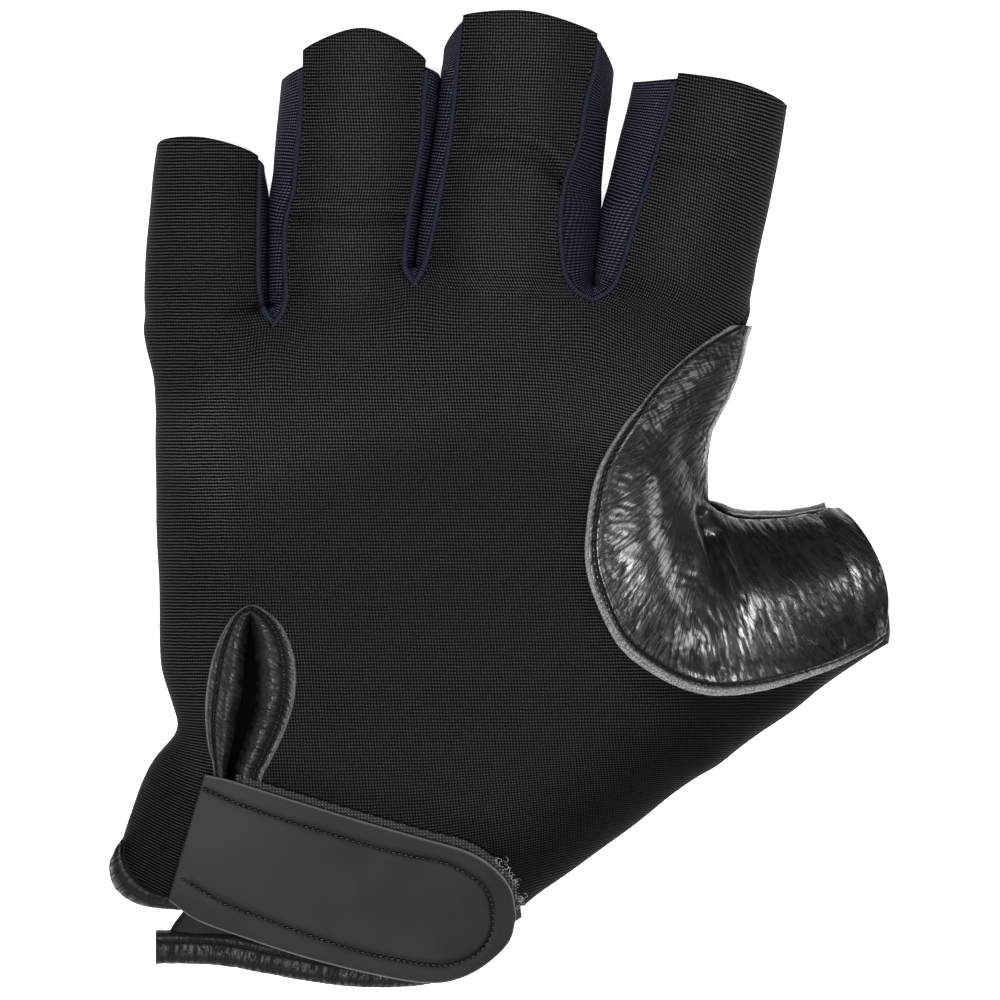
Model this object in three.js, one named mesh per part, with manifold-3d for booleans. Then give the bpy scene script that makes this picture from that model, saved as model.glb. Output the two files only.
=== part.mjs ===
// A fingerless glove for the left hand, lying palm down with its fingers along +Y and its thumb at +X.
// Millimetres, +Z up. The origin is on the surface that the glove lies on, under the middle of its outline.
import * as THREE from "three";
import { mergeVertices } from "three/addons/utils/BufferGeometryUtils.js";
import Module from "manifold-3d";

const wasm = await Module();
wasm.setup();

// Driving dimensions
const KNIT = 1.2; // thickness of the stretch knit
const LEATHER = 1.4; // thickness of the palm leather
const PATCH = 1.1; // thickness of the thumb leather where it lies on the knit
const TAPE = 0.8; // thickness of the hook tape and of the loop tape
const TAB = 2.0; // thickness of the closure tab
const GAP = 0.3; // clearance between neighbouring pieces
const LAP = 6; // width of the knit that runs on under the thumb leather
const SIDE_SEAM = 7.5; // height of the seam between palm and back along the outside of the hand
const FINGER_SEAM = 2.6; // height of the seam between palm and fourchettes
const INDEX_SEAM = 12.5; // height of the palm leather along the outer side of the index finger
const FLATTENED = 0.8; // how deep the round underside is pressed flat by what the glove lies on
const WAIST = 0.44; // height of the widest line of a section, as a share of the section's height
const ROUNDNESS = 2.3; // exponent of the sections: 2 is an ellipse, more is squarer
const HEM = 5; // width of the leather hem on the back
const PALM_HEM = 6.5; // width of the leather hem on the palm side
const BOUND = 1.7; // width of the slit's edge that its binding closes in
const LOOP_RIM = 0.9; // how far the loop tape reaches beyond the tab's free end
const HOOK_RIM = 1.5; // how far the hook tape stays inside the tab's free end
const TAPE_LEFT = -36; // where the tapes end under the tab
const CUFF_SPLIT = -50; // X of the slit at the hem, between the two hems of the back
const LOOP_LIFT = GAP; // height of the loop tape over the back
const HOOK_LIFT = LOOP_LIFT + TAPE + GAP; // height of the hook tape over the back
const TAB_LIFT = HOOK_LIFT + TAPE + GAP; // height of the tab over the back
const WELT = 1.1; // radius of the rolled seam
const CLEAR = 60; // more than the height of anything here
const HAND_SIDES = 24; // faces round a section of the hand
const FINGER_SIDES = 12; // faces round a finger
const THUMB_SIDES = 16; // faces round the thumb
const WELT_SIDES = 8; // faces round the rolled seam
const WELT_STEPS = 15; // sections along the rolled seam

// The hand, a row for each cross-section: place along Y, left and right edges, height
const HAND = [
  { y: -96, left: -66.0, right: -4.0, height: 17.0 },
  { y: -83.6, left: -66.0, right: 0.7, height: 18.0 },
  { y: -77.9, left: -68.5, right: 3.6, height: 18.5 },
  { y: -74.3, left: -72.6, right: 8.5, height: 19.0 },
  { y: -70.3, left: -73.7, right: 14.0, height: 19.4 },
  { y: -66.5, left: -72.2, right: 19.3, height: 20.0 },
  { y: -60.8, left: -70.6, right: 26.9, height: 20.8 },
  { y: -49.4, left: -65.8, right: 41.5, height: 22.4 },
  { y: -43.7, left: -60.6, right: 42.0, height: 23.4 },
  { y: -38.0, left: -62.4, right: 42.0, height: 24.4 },
  { y: -32.0, left: -64.3, right: 41.9, height: 25.3 },
  { y: -20.0, left: -64.7, right: 41.5, height: 26.8 },
  { y: -10.0, left: -65.1, right: 40.4, height: 27.6 },
  { y: 0.0, left: -65.3, right: 39.2, height: 28.0 },
  { y: 8.6, left: -65.5, right: 39.6, height: 27.6 },
  { y: 16.2, left: -65.3, right: 41.7, height: 26.6 },
  { y: 24.7, left: -65.6, right: 45.6, height: 24.0 },
  { y: 31.4, left: -67.0, right: 47.2, height: 21.4 },
  { y: 38.0, left: -67.7, right: 47.8, height: 18.8 },
  { y: 46.0, left: -67.4, right: 48.9, height: 16.4 },
];

// The four fingers, a row for each cross-section as above, and how each tube is cut off: the y of the
// longest point of its opening, how much shorter its sides are, and how far the cut turns to the right
const FINGERS = {
  pinky: {
    longest: 70.2, sidesShorter: 1.6, turn: 12, middle: -56.6,
    rows: [
      { y: 8, left: -62.5, right: -42.5, height: 13.0 },
      { y: 24, left: -65.6, right: -43.5, height: 16.4 },
      { y: 38, left: -67.7, right: -44.3, height: 16.2 },
      { y: 47, left: -67.4, right: -44.2, height: 15.6 },
      { y: 55, left: -66.6, right: -44.3, height: 14.8 },
      { y: 62.3, left: -66.0, right: -44.6, height: 14.5 },
      { y: 76, left: -64.0, right: -45.4, height: 14.0 },
    ],
  },
  ring: {
    longest: 89.0, sidesShorter: 7.6, turn: 0, middle: -26.8,
    rows: [
      { y: 8, left: -42.0, right: -17.5, height: 14.0 },
      { y: 24, left: -43.0, right: -16.8, height: 18.4 },
      { y: 40, left: -43.6, right: -16.6, height: 18.2 },
      { y: 51.3, left: -43.6, right: -16.0, height: 17.4 },
      { y: 64.6, left: -43.0, right: -13.6, height: 16.6 },
      { y: 75, left: -42.1, right: -11.9, height: 16.2 },
      { y: 94, left: -40.6, right: -10.4, height: 15.6 },
    ],
  },
  middle: {
    longest: 92.9, sidesShorter: 7.2, turn: 4, middle: 5.4,
    rows: [
      { y: 8, left: -15.5, right: 15.5, height: 14.5 },
      { y: 24, left: -16.4, right: 17.4, height: 19.4 },
      { y: 42, left: -16.2, right: 17.6, height: 19.0 },
      { y: 56, left: -14.3, right: 19.1, height: 18.2 },
      { y: 67, left: -12.4, right: 20.1, height: 17.5 },
      { y: 77, left: -11.3, right: 21.2, height: 17.0 },
      { y: 98, left: -10.3, right: 22.4, height: 16.2 },
    ],
  },
  index: {
    longest: 79.6, sidesShorter: 2.6, turn: 12, middle: 38.4,
    rows: [
      { y: 8, left: 17.0, right: 40.0, height: 14.0 },
      { y: 24, left: 17.6, right: 45.2, height: 18.4 },
      { y: 38, left: 18.0, right: 47.9, height: 18.0 },
      { y: 45, left: 18.4, right: 48.9, height: 17.4 },
      { y: 56, left: 19.7, right: 51.4, height: 16.6 },
      { y: 66, left: 22.1, right: 53.4, height: 16.2 },
      { y: 75, left: 24.2, right: 54.8, height: 15.8 },
      { y: 90, left: 27.0, right: 57.0, height: 15.2 },
    ],
  },
};

// The thumb, a row for each cross-section along X: place, lower and upper edge in plan, height
const THUMB = [
  { x: 20.0, low: -44.0, high: -4.0, height: 13.0 },
  { x: 31.0, low: -48.0, high: -2.6, height: 18.5 },
  { x: 40.0, low: -50.8, high: -1.4, height: 20.6 },
  { x: 47.6, low: -46.0, high: -2.9, height: 20.6 },
  { x: 55.2, low: -40.5, high: -2.6, height: 19.8 },
  { x: 62.8, low: -34.6, high: -0.4, height: 18.6 },
  { x: 70.4, low: -29.4, high: 2.0, height: 17.4 },
  { x: 80.0, low: -24.0, high: 4.0, height: 15.6 },
];

// Plan curves, as points that a smooth line runs through
const KNUCKLES = [
  [-90, 30], [-58, 34], [-44, 36.2], [-30, 41], [-16, 44.5], [0, 43], [17.6, 41], [34, 38], [80, 30],
];
const GUSSETS = {
  fourchette_pinky_ring: {
    rise: [[-45.7, 96], [-45.7, 72], [-46.1, 57], [-46.2, 43.3], [-45.5, 38], [-44, 32.7]],
    fall: [[-40.9, 34.6], [-40.2, 38], [-40.8, 52.8], [-38.9, 56], [-38.3, 64.6], [-37.5, 74], [-37.3, 96]],
  },
  fourchette_ring_middle: {
    rise: [[-12.4, 98], [-14.7, 76], [-15.1, 68], [-17, 57], [-18.5, 46], [-17.8, 42.4], [-16.1, 41]],
    fall: [[-14.7, 42.4], [-13, 48], [-10.7, 59.7], [-8.8, 71.4], [-6.4, 98]],
  },
  fourchette_middle_index: {
    rise: [[19.1, 98], [18.3, 84.7], [16.2, 76], [14.7, 67.5], [12.1, 60], [11.2, 52], [12.8, 42],
      [17.6, 37.6]],
    fall: [[22.9, 42.6], [25.6, 51.3], [28.6, 61.2], [31.3, 70.3], [33.7, 80], [36.6, 98]],
  },
};
const INDEX_SIDE = [[53.2, 90], [52.2, 72.2], [51.4, 66.5], [49.1, 55], [47.4, 43.7], [46.1, 34]];
const CRESCENT = [
  [46.1, 34.6], [38.1, 28.1], [30.5, 21.3], [22.9, 12.7], [18.6, 3], [17.6, -6], [18.5, -16], [23.8, -28.5],
  [32, -35], [41.9, -37.2], [53, -36.4], [64.7, -33.2], [73.2, -28.5],
];
const THUMB_END = [
  [58, 12], [64.3, -0.4], [67.7, -3.8], [71.5, -9.5], [74.2, -15.2], [74.8, -20.9], [74, -27], [70, -38],
];
const WELT_LINE = [
  [44.6, 26.6], [42.2, 20.3], [39.5, 13.2], [38.4, 7], [38.2, 1.5], [40.4, -2.4], [44.8, -4], [52, -4],
  [58.6, -2.8], [63.6, -1.5],
];
const VENT = {
  outerLeft: [[-47.6, -19.8], [-50.4, -21.7], [-52.7, -25.5], [-54.8, -31.2], [-55.8, -39], [-55.6, -46.4],
    [-54.2, -51.3], [-53.5, -64.6], [-53, -90]],
  outerRight: [[-46.5, -90], [-45.9, -64.6], [-45.1, -53.4], [-40.6, -43.9], [-39, -38.2], [-38.5, -32.9],
    [-39.6, -27], [-43, -21.8]],
  slitLeft: [[-47.6, -21.5], [-48.7, -27], [-49.3, -37.4], [-50.6, -44], [-52, -51.5], [-51.4, -64.6], [-51, -95]],
  slitRight: [[-49, -95], [-49.5, -64.6], [-49.9, -52.3], [-48.2, -46.4], [-46.1, -40.5], [-45.5, -35],
    [-45.9, -27.4], [-46.6, -21.5]],
};
const TAB_TOP = [[-55.6, -51.5], [-50.8, -52.6], [-40.2, -56], [-25.7, -60.4], [-14.5, -63.5], [-6.7, -65.7]];
const TAB_END = [[-1.2, -68.6], [3, -74], [3.6, -79], [1.8, -84], [-3, -88.6], [-8, -91.2], [-14, -91.9]];
const TAB_BOTTOM = [[-23.5, -90], [-37, -86.6], [-49.1, -82.7], [-57.5, -79.6], [-63, -75.8]];
const TAB_LEFT = [[-61.4, -71.5], [-58.4, -64], [-56.4, -57]];
const BACK_HEM = [
  [-85, -73.5], [-72, -74.6], [-66, -77], [-62, -77.2], [-38, -80.8], [-13, -83.6], [0, -80.5], [12, -76],
];
const PALM_HEM_LINE = [
  [-66, -88.6], [-49, -88.8], [-41, -90], [-30, -92], [-20, -92.9], [-10, -92.2], [4, -89.5], [14, -86],
];

// A closed geometry as a solid that can be joined and cut
function solid(geometry) {
  const bare = geometry.clone();
  bare.deleteAttribute("normal");
  bare.deleteAttribute("uv");
  const merged = mergeVertices(bare, 1e-4);
  return new wasm.Manifold(new wasm.Mesh({
    numProp: 3,
    vertProperties: new Float32Array(merged.attributes.position.array),
    triVerts: new Uint32Array(merged.index.array),
  }));
}

// A smooth line through plan points, sampled
function smooth(points, steps = 2) {
  const corners = points.map(([x, y]) => new THREE.Vector3(x, y, 0));
  const curve = new THREE.CatmullRomCurve3(corners, false, "centripetal");
  return curve.getPoints((points.length - 1) * steps).map((p) => [p.x, p.y]);
}

// A closed plan outline moved outwards by a distance, or inwards by a negative one
function grown(outline, distance) {
  const turning = Math.sign(THREE.ShapeUtils.area(outline.map(([x, y]) => new THREE.Vector2(x, y))));
  return outline.map(([x, y], i) => {
    const before = outline.at(i - 1);
    const after = outline[(i + 1) % outline.length];
    const along = new THREE.Vector2(after[0] - before[0], after[1] - before[1]).normalize();
    return [x + along.y * distance * turning, y - along.x * distance * turning];
  });
}

// An upright prism over a plan outline
function prism(outline, bottom = -1, top = CLEAR) {
  const shape = new THREE.Shape(outline.map(([x, y]) => new THREE.Vector2(x, y)));
  const geometry = new THREE.ExtrudeGeometry(shape, { depth: top - bottom, bevelEnabled: false, steps: 1 });
  return solid(geometry.translate(0, 0, bottom));
}

// Everything between two heights
function layer(bottom, top = CLEAR) {
  const size = 400;
  return solid(new THREE.BoxGeometry(size, size, top - bottom).translate(0, 0, (top + bottom) / 2));
}

// A tube of rounded sections, swollen by an offset and pressed flat underneath. A section has its place
// along the tube, its left and right edges across it and its height, and place() puts a point in the glove.
function tube(sections, offset, sides, place) {
  const points = [];
  const faces = [];
  for (const { along, left, right, height } of sections) {
    const waist = height * WAIST;
    const halfWidth = (right - left) / 2 + offset;
    const rise = height - waist + offset;
    const drop = waist + FLATTENED + offset;
    for (let i = 0; i < sides; i++) {
      const angle = (2 * Math.PI * i) / sides;
      const rounded = (value) => Math.sign(value) * Math.abs(value) ** (2 / ROUNDNESS);
      const up = rounded(Math.sin(angle));
      const across = (left + right) / 2 + halfWidth * rounded(Math.cos(angle));
      const z = Math.max(waist + up * (up > 0 ? rise : drop), Math.max(0, -offset));
      points.push(...place(across, along, z));
    }
  }
  for (let row = 0; row + 1 < sections.length; row++)
    for (let i = 0; i < sides; i++) {
      const a = row * sides + i;
      const b = row * sides + ((i + 1) % sides);
      faces.push(a, a + sides, b + sides, a, b + sides, b);
    }
  const last = (sections.length - 1) * sides;
  for (let i = 1; i + 1 < sides; i++) {
    faces.push(0, i, i + 1);
    faces.push(last, last + i + 1, last + i);
  }
  const geometry = new THREE.BufferGeometry();
  geometry.setAttribute("position", new THREE.Float32BufferAttribute(points, 3));
  geometry.setIndex(faces);
  return solid(geometry);
}

const handSections = HAND.map((row) => ({ ...row, along: row.y }));
const thumbSections = THUMB.map((row) => ({ along: row.x, left: -row.high, right: -row.low, height: row.height }));
const inHand = (across, along, z) => [across, along, z];
const inThumb = (across, along, z) => [along, -across, z];

// The plan of the hand as far as the knuckles, where the fingers part
function handPlan(setBack) {
  const front = smooth(KNUCKLES).map(([x, y]) => [x, y - setBack]);
  return prism([...front, [90, -110], [-90, -110]], -CLEAR);
}

// The slanting end of a finger: everything beyond its opening
function beyondFinger({ longest, sidesShorter, turn, middle, rows }) {
  const margin = 6; // how far the cutter stands above the finger
  const reach = 40; // half its width, and its length
  const height = rows.at(-1).height;
  const waist = height * WAIST;
  const profile = new THREE.Shape([
    new THREE.Vector2(-sidesShorter, -CLEAR),
    new THREE.Vector2(reach, -CLEAR),
    new THREE.Vector2(reach, height + margin),
    new THREE.Vector2((sidesShorter * margin) / (height - waist), height + margin),
    new THREE.Vector2(-sidesShorter, waist),
  ]);
  const geometry = new THREE.ExtrudeGeometry(profile, { depth: 2 * reach, bevelEnabled: false, steps: 1 });
  geometry.translate(0, 0, -reach);
  geometry.applyMatrix4(new THREE.Matrix4().set(0, 0, 1, 0, 1, 0, 0, 0, 0, 1, 0, 0, 0, 0, 0, 1));
  geometry.rotateZ(THREE.MathUtils.degToRad(-turn));
  return solid(geometry.translate(middle, longest, 0));
}

const thumbEnd = prism([...smooth(THUMB_END), [100, -38], [100, 12]], -CLEAR);

// The whole hand as one form, swollen by an offset. A cut form ends at its openings, an uncut one runs on.
function form(offset, cut) {
  let whole = tube(handSections, offset, HAND_SIDES, inHand).intersect(handPlan(-offset));
  for (const finger of Object.values(FINGERS)) {
    const long = tube(finger.rows.map((row) => ({ ...row, along: row.y })), offset, FINGER_SIDES, inHand);
    whole = whole.add(cut ? long.subtract(beyondFinger(finger)) : long);
  }
  const thumb = tube(thumbSections, offset, THUMB_SIDES, inThumb);
  return whole.add(cut ? thumb.subtract(thumbEnd) : thumb);
}

// A skin between two offsets of the form
function skin(outside, inside) {
  return form(outside, true).subtract(form(inside, false));
}

// Plan outlines of the pieces
const gussetPlans = Object.fromEntries(
  Object.entries(GUSSETS).map(([name, { rise, fall }]) => [name, smooth([...rise, ...fall])]),
);
const indexSide = [...smooth(INDEX_SIDE), [80, 34], [80, 90]];
const crescentEdge = smooth(CRESCENT);
const crescent = [...crescentEdge, [95, -28.5], [95, 34.6]];
const crescentInside = [
  ...grown(crescent, -LAP).slice(1, crescentEdge.length - 1),
  [95, -22], [95, 50], [46.1 + LAP, 34.6],
];
const ventOutline = smooth(VENT.outerLeft).concat(smooth(VENT.outerRight));
const slit = smooth(VENT.slitLeft).concat(smooth(VENT.slitRight));
const tabOutline = [...smooth([...TAB_TOP, ...TAB_END, ...TAB_BOTTOM]), ...smooth(TAB_LEFT)];
const backHem = smooth(BACK_HEM);
const palmHem = smooth(PALM_HEM_LINE);
const freeEnd = tabOutline.filter(([x]) => x > TAPE_LEFT);
const above = (line, shift) => [
  ...line.map(([x, y]) => [x, y + shift]), [130, line.at(-1)[1]], [130, 130], [-130, 130],
];
const band = (line, width) => [...line, ...line.map(([x, y]) => [x, y + width]).reverse()];

const weltCurve = new THREE.CatmullRomCurve3(WELT_LINE.map(([x, y]) => new THREE.Vector3(x, y, SIDE_SEAM + 0.2)));
function roll(radius, sides) {
  const circle = new THREE.Shape();
  circle.absarc(0, 0, radius, 0, 2 * Math.PI);
  return solid(new THREE.ExtrudeGeometry(circle, {
    extrudePath: weltCurve, steps: WELT_STEPS, curveSegments: sides / 2, bevelEnabled: false,
  }));
}

// Regions that hold each family of pieces
const gussetSpace = Object.values(gussetPlans)
  .map((plan) => prism(grown(plan, GAP), FINGER_SEAM))
  .reduce((all, one) => all.add(one));
const backSpace = layer(SIDE_SEAM + GAP).subtract(prism(grown(indexSide, GAP), -1, INDEX_SEAM + GAP));
const weltSpace = roll(WELT + GAP, WELT_SIDES);

function backPanel() {
  return skin(0, -KNIT)
    .intersect(backSpace)
    .subtract(gussetSpace)
    .subtract(weltSpace)
    .subtract(prism(grown(crescentInside, GAP)))
    .subtract(prism(grown(slit, BOUND + GAP)))
    .intersect(prism(above(backHem, HEM + GAP)));
}

function palmPanel() {
  return skin(0, -LEATHER)
    .intersect(layer(-1, SIDE_SEAM).add(prism(indexSide, -1, INDEX_SEAM)))
    .subtract(gussetSpace)
    .subtract(weltSpace)
    .intersect(prism(above(palmHem, PALM_HEM + GAP)));
}

function fourchette(plan) {
  return skin(0, -KNIT).intersect(prism(plan, FINGER_SEAM + GAP));
}

function thumbLeather() {
  const upper = layer(SIDE_SEAM + GAP);
  const onKnit = skin(GAP + PATCH, GAP).intersect(prism(crescent));
  const alone = skin(GAP + PATCH, PATCH - LEATHER).intersect(prism(crescentInside));
  return onKnit.add(alone).intersect(upper).subtract(weltSpace)
    .subtract(prism(grown(indexSide, GAP), -1, INDEX_SEAM + GAP));
}

function ventBinding() {
  const onKnit = skin(GAP + PATCH, GAP).intersect(prism(ventOutline));
  const edge = skin(GAP + PATCH, -KNIT).intersect(prism(grown(slit, BOUND)));
  return onKnit.add(edge).subtract(prism(slit))
    .intersect(layer(SIDE_SEAM + GAP)).intersect(prism(above(backHem, HEM + GAP)));
}

function backCuff(side) {
  const strip = skin(PATCH, -KNIT).intersect(prism(band(backHem, HEM))).intersect(layer(SIDE_SEAM + GAP));
  const far = CUFF_SPLIT + (side === "left" ? -100 : 100);
  const half = [[CUFF_SPLIT, -110], [far, -110], [far, -50], [CUFF_SPLIT, -50]];
  return strip.intersect(prism(half)).subtract(prism(slit));
}

function palmCuff() {
  return skin(0, -LEATHER - PATCH).intersect(layer(-1, SIDE_SEAM)).intersect(prism(band(palmHem, PALM_HEM)));
}

// A tape between the tab and the wrist, in the outline of the tab's free end
function tape(offset, outline) {
  return skin(offset + TAPE, offset).intersect(prism(outline)).intersect(layer(SIDE_SEAM + GAP));
}

function loopPatch() {
  return tape(LOOP_LIFT, grown(freeEnd, LOOP_RIM)).intersect(prism(above(backHem, HEM + GAP + GAP)));
}

function hookPatch() {
  return tape(HOOK_LIFT, grown(freeEnd, -HOOK_RIM));
}

function closureTab() {
  return skin(TAB_LIFT + TAB, TAB_LIFT).intersect(prism(tabOutline)).intersect(layer(SIDE_SEAM + GAP));
}

const knitBlack = new THREE.MeshStandardMaterial({ color: 0x121214, roughness: 0.85, metalness: 0 });
const knitNavy = new THREE.MeshStandardMaterial({ color: 0x14161f, roughness: 0.85, metalness: 0 });
const blackLeather = new THREE.MeshStandardMaterial({ color: 0x1a1918, roughness: 0.4, metalness: 0 });
const mattePlastic = new THREE.MeshStandardMaterial({ color: 0x202022, roughness: 0.6, metalness: 0 });
const fuzzyTape = new THREE.MeshStandardMaterial({ color: 0x151515, roughness: 0.95, metalness: 0 });

const glove = new THREE.Group();

// The solid as a named mesh of the glove, without the shards that a cut can leave beside it
function put(name, made, material) {
  const bodies = made.decompose().sort((one, other) => other.volume() - one.volume());
  const mesh = bodies[0].getMesh();
  const geometry = new THREE.BufferGeometry();
  geometry.setAttribute("position", new THREE.BufferAttribute(mesh.vertProperties, 3));
  geometry.setIndex(new THREE.BufferAttribute(mesh.triVerts, 1));
  geometry.computeVertexNormals();
  const piece = new THREE.Mesh(geometry, material);
  piece.name = name;
  glove.add(piece);
}

put("back_panel", backPanel(), knitBlack);
put("palm_panel", palmPanel(), blackLeather);
for (const [name, plan] of Object.entries(gussetPlans)) put(name, fourchette(plan), knitNavy);
put("thumb_leather", thumbLeather(), blackLeather);
put("thumb_welt", roll(WELT, WELT_SIDES), blackLeather);
put("vent_binding", ventBinding(), blackLeather);
put("closure_tab", closureTab(), mattePlastic);
put("hook_patch", hookPatch(), fuzzyTape);
put("loop_patch", loopPatch(), fuzzyTape);
put("cuff_binding_palm", palmCuff(), blackLeather);
put("cuff_binding_left", backCuff("left"), blackLeather);
put("cuff_binding_right", backCuff("right"), blackLeather);

export default glove;
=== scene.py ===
# %% [markdown]
# # A fingerless glove, laid palm down
#
# The glove is a left-hand half-finger glove. Its back is black stretch knit, the walls between its fingers
# are navy knit, its palm and thumb are leather, and a stitched tab closes the wrist. It lies on a white
# surface and is seen from straight above.
#
# Every piece below lies on one smooth form, the shape of the hand inside. So the lesson first describes
# that form with formulas, then cuts each piece out of it by its own seam lines, and then paints the pieces.

# %% The frame and the tools
import math
import bpy
import numpy as np
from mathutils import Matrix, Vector


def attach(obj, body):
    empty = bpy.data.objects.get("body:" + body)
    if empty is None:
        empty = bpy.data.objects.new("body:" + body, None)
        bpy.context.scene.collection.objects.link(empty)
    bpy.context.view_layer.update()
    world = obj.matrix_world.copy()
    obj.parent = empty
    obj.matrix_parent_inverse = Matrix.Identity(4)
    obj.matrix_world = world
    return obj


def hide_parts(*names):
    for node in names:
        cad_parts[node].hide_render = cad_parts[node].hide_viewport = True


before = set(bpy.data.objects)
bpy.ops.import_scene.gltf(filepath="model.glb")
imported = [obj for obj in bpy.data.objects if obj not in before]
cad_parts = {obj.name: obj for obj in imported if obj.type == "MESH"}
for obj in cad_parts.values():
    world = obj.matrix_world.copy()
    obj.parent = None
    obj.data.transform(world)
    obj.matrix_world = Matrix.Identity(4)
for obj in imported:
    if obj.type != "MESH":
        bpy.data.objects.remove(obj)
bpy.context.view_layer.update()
MM = 0.001

# %% [markdown]
# ## The camera
#
# The photograph looks straight down on the glove from far away, so a very long lens is right: it shows
# almost no perspective. The picture is about 190 mm wide at the glove, and up in the picture is towards
# the fingertips.

# %% Camera
PICTURE_WIDTH = 0.190
CAMERA_HEIGHT = 2.5
camera_data = bpy.data.cameras.new("overhead")
camera_data.sensor_width = 36.0
camera_data.lens = 36.0 * CAMERA_HEIGHT / PICTURE_WIDTH
camera_data.clip_end = 20.0
camera = bpy.data.objects.new("overhead", camera_data)
camera.location = (0.0001, 0.0, CAMERA_HEIGHT + 0.012)
bpy.context.scene.collection.objects.link(camera)
bpy.context.scene.camera = camera

# %% [markdown]
# ## The hand inside
#
# A sewn glove takes the shape of the hand, so the form is a hand: a flattened dome, four finger tubes and a
# thumb tube. Each is a table with a row for each cross-section, in millimetres. A section is a
# superellipse, round on top and pressed flat underneath. The tables are the construction's own.

# %% Tables of sections
WAIST = 0.44
ROUNDNESS = 2.3
FLATTENED = 0.8
SIDE_SEAM = 7.65
FINGER_SEAM = 2.75
INDEX_SEAM = 9.4
KNIT = 1.0
LEATHER = 1.3

# place along the hand, left edge, right edge, height
HAND = [
    (-96.0, -66.0, -4.0, 17.0), (-83.6, -66.0, 0.7, 18.0), (-77.9, -68.5, 3.6, 18.5),
    (-74.3, -72.6, 8.5, 19.0), (-70.3, -73.4, 14.0, 19.4), (-66.5, -72.2, 19.3, 20.0),
    (-60.8, -70.6, 26.9, 20.8), (-55.0, -68.7, 34.5, 21.6), (-49.4, -65.8, 41.5, 22.4),
    (-43.7, -60.6, 42.0, 23.4), (-38.0, -62.4, 42.0, 24.4), (-32.0, -64.3, 41.9, 25.3),
    (-20.0, -64.7, 41.5, 26.8), (-10.0, -65.1, 40.4, 27.6), (0.0, -65.3, 39.2, 28.0),
    (8.6, -65.5, 39.6, 27.6), (16.2, -65.3, 41.7, 26.6), (24.7, -65.6, 45.6, 24.0),
    (31.4, -67.0, 47.2, 21.4), (38.0, -67.7, 47.8, 18.8), (46.0, -67.4, 48.9, 16.4),
]
FINGERS = {
    "pinky": [
        (8, -62.5, -42.5, 13.0), (24, -65.6, -43.5, 16.4), (38, -67.7, -44.3, 16.2),
        (47, -67.4, -44.2, 15.6), (55, -66.6, -44.3, 14.8), (62.3, -66.0, -44.6, 14.5),
        (76, -64.0, -45.4, 14.0),
    ],
    "ring": [
        (8, -42.0, -17.5, 14.0), (24, -43.0, -16.8, 18.4), (40, -43.6, -16.6, 18.2),
        (51.3, -43.6, -16.0, 17.4), (64.6, -43.0, -13.6, 16.6), (75, -42.1, -11.9, 16.2),
        (94, -40.6, -10.4, 15.6),
    ],
    "middle": [
        (8, -15.5, 15.5, 14.5), (24, -16.4, 17.4, 19.4), (42, -16.2, 17.6, 19.0),
        (56, -14.3, 19.1, 18.2), (67, -12.4, 20.1, 17.5), (77, -11.3, 21.2, 17.0),
        (98, -10.3, 22.4, 16.2),
    ],
    "index": [
        (8, 17.0, 40.0, 14.0), (24, 17.6, 45.2, 18.4), (38, 18.0, 47.9, 18.0), (45, 18.4, 48.9, 17.4),
        (56, 19.7, 51.4, 16.6), (66, 22.1, 53.4, 16.2), (75, 24.2, 54.8, 15.8), (90, 27.0, 57.0, 15.2),
    ],
}
# place along X, edge towards the wrist, edge towards the fingers, height
THUMB = [
    (20.0, -44.0, -4.0, 13.0), (31.0, -48.0, -2.6, 18.5), (40.0, -50.8, -1.4, 20.6),
    (47.6, -46.0, -2.9, 20.6), (55.2, -40.5, -2.6, 19.8), (62.8, -34.6, -0.4, 18.6),
    (70.4, -29.4, 2.0, 17.4), (80.0, -24.0, 4.0, 15.6),
]
KNUCKLES = [
    (-90, 30), (-58, 34), (-44, 36.2), (-30, 41), (-16, 44.5), (0, 43), (17.6, 41), (34, 38),
    (80, 30),
]

# %% [markdown]
# ## The form as a formula
#
# Each tube gives, for any point in space, roughly how deep the point lies inside it. A soft maximum of
# those depths melts the tubes into one hand with rounded valleys, where a plain union has sharp creases.
# The surface is where the depth is nought, and a piece that lies on top of another is where it is less.

# %% Depth inside the hand
STEP = 0.5
SOFTNESS = 1.3
EDGE_SOFTNESS = 0.8
PINKY, RING, MIDDLE, INDEX = range(4)
FADE_START = 8.0
# the outer finger's tube grows out of the hand between these places, from this many millimetres inside it
GROWTH = (8.0, 30.0)
GROWTH_DEPTH = 7.0
# a height that lies inside the form everywhere, where rays start
CORE_HEIGHT = 8.0
# a ray gets to the surface in steps, each a little shorter than its depth
RAY_STEPS, RAY_PACE = 34, 0.92
SLOPE_REACH = 0.25


def ramp(values, low, high):
    """0 below low and 1 above high, with a smooth step between."""
    t = np.clip((values - low) / (high - low), 0, 1)
    return t * t * (3 - 2 * t)


def run_along(line):
    """The length run so far at each point of a line, or of each row of a grid."""
    steps = np.linalg.norm(np.diff(line, axis=-2), axis=-1)
    return np.concatenate([np.zeros(steps.shape[:-1] + (1,)), np.cumsum(steps, axis=-1)], axis=-1)


def softened(rows, sigma=1.6):
    """The table's columns at every half millimetre, with its corners rounded off."""
    rows = np.array(rows, float)
    along = np.arange(rows[0, 0], rows[-1, 0] + STEP, STEP)
    reach = int(4 * sigma / STEP)
    kernel = np.exp(-0.5 * (np.arange(-reach, reach + 1) * STEP / sigma) ** 2)
    kernel /= kernel.sum()
    columns = [along]
    for column in rows.T[1:]:
        plain = np.interp(along, rows[:, 0], column)
        columns.append(np.convolve(np.pad(plain, reach, mode="edge"), kernel, mode="valid"))
    return np.array(columns)


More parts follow.
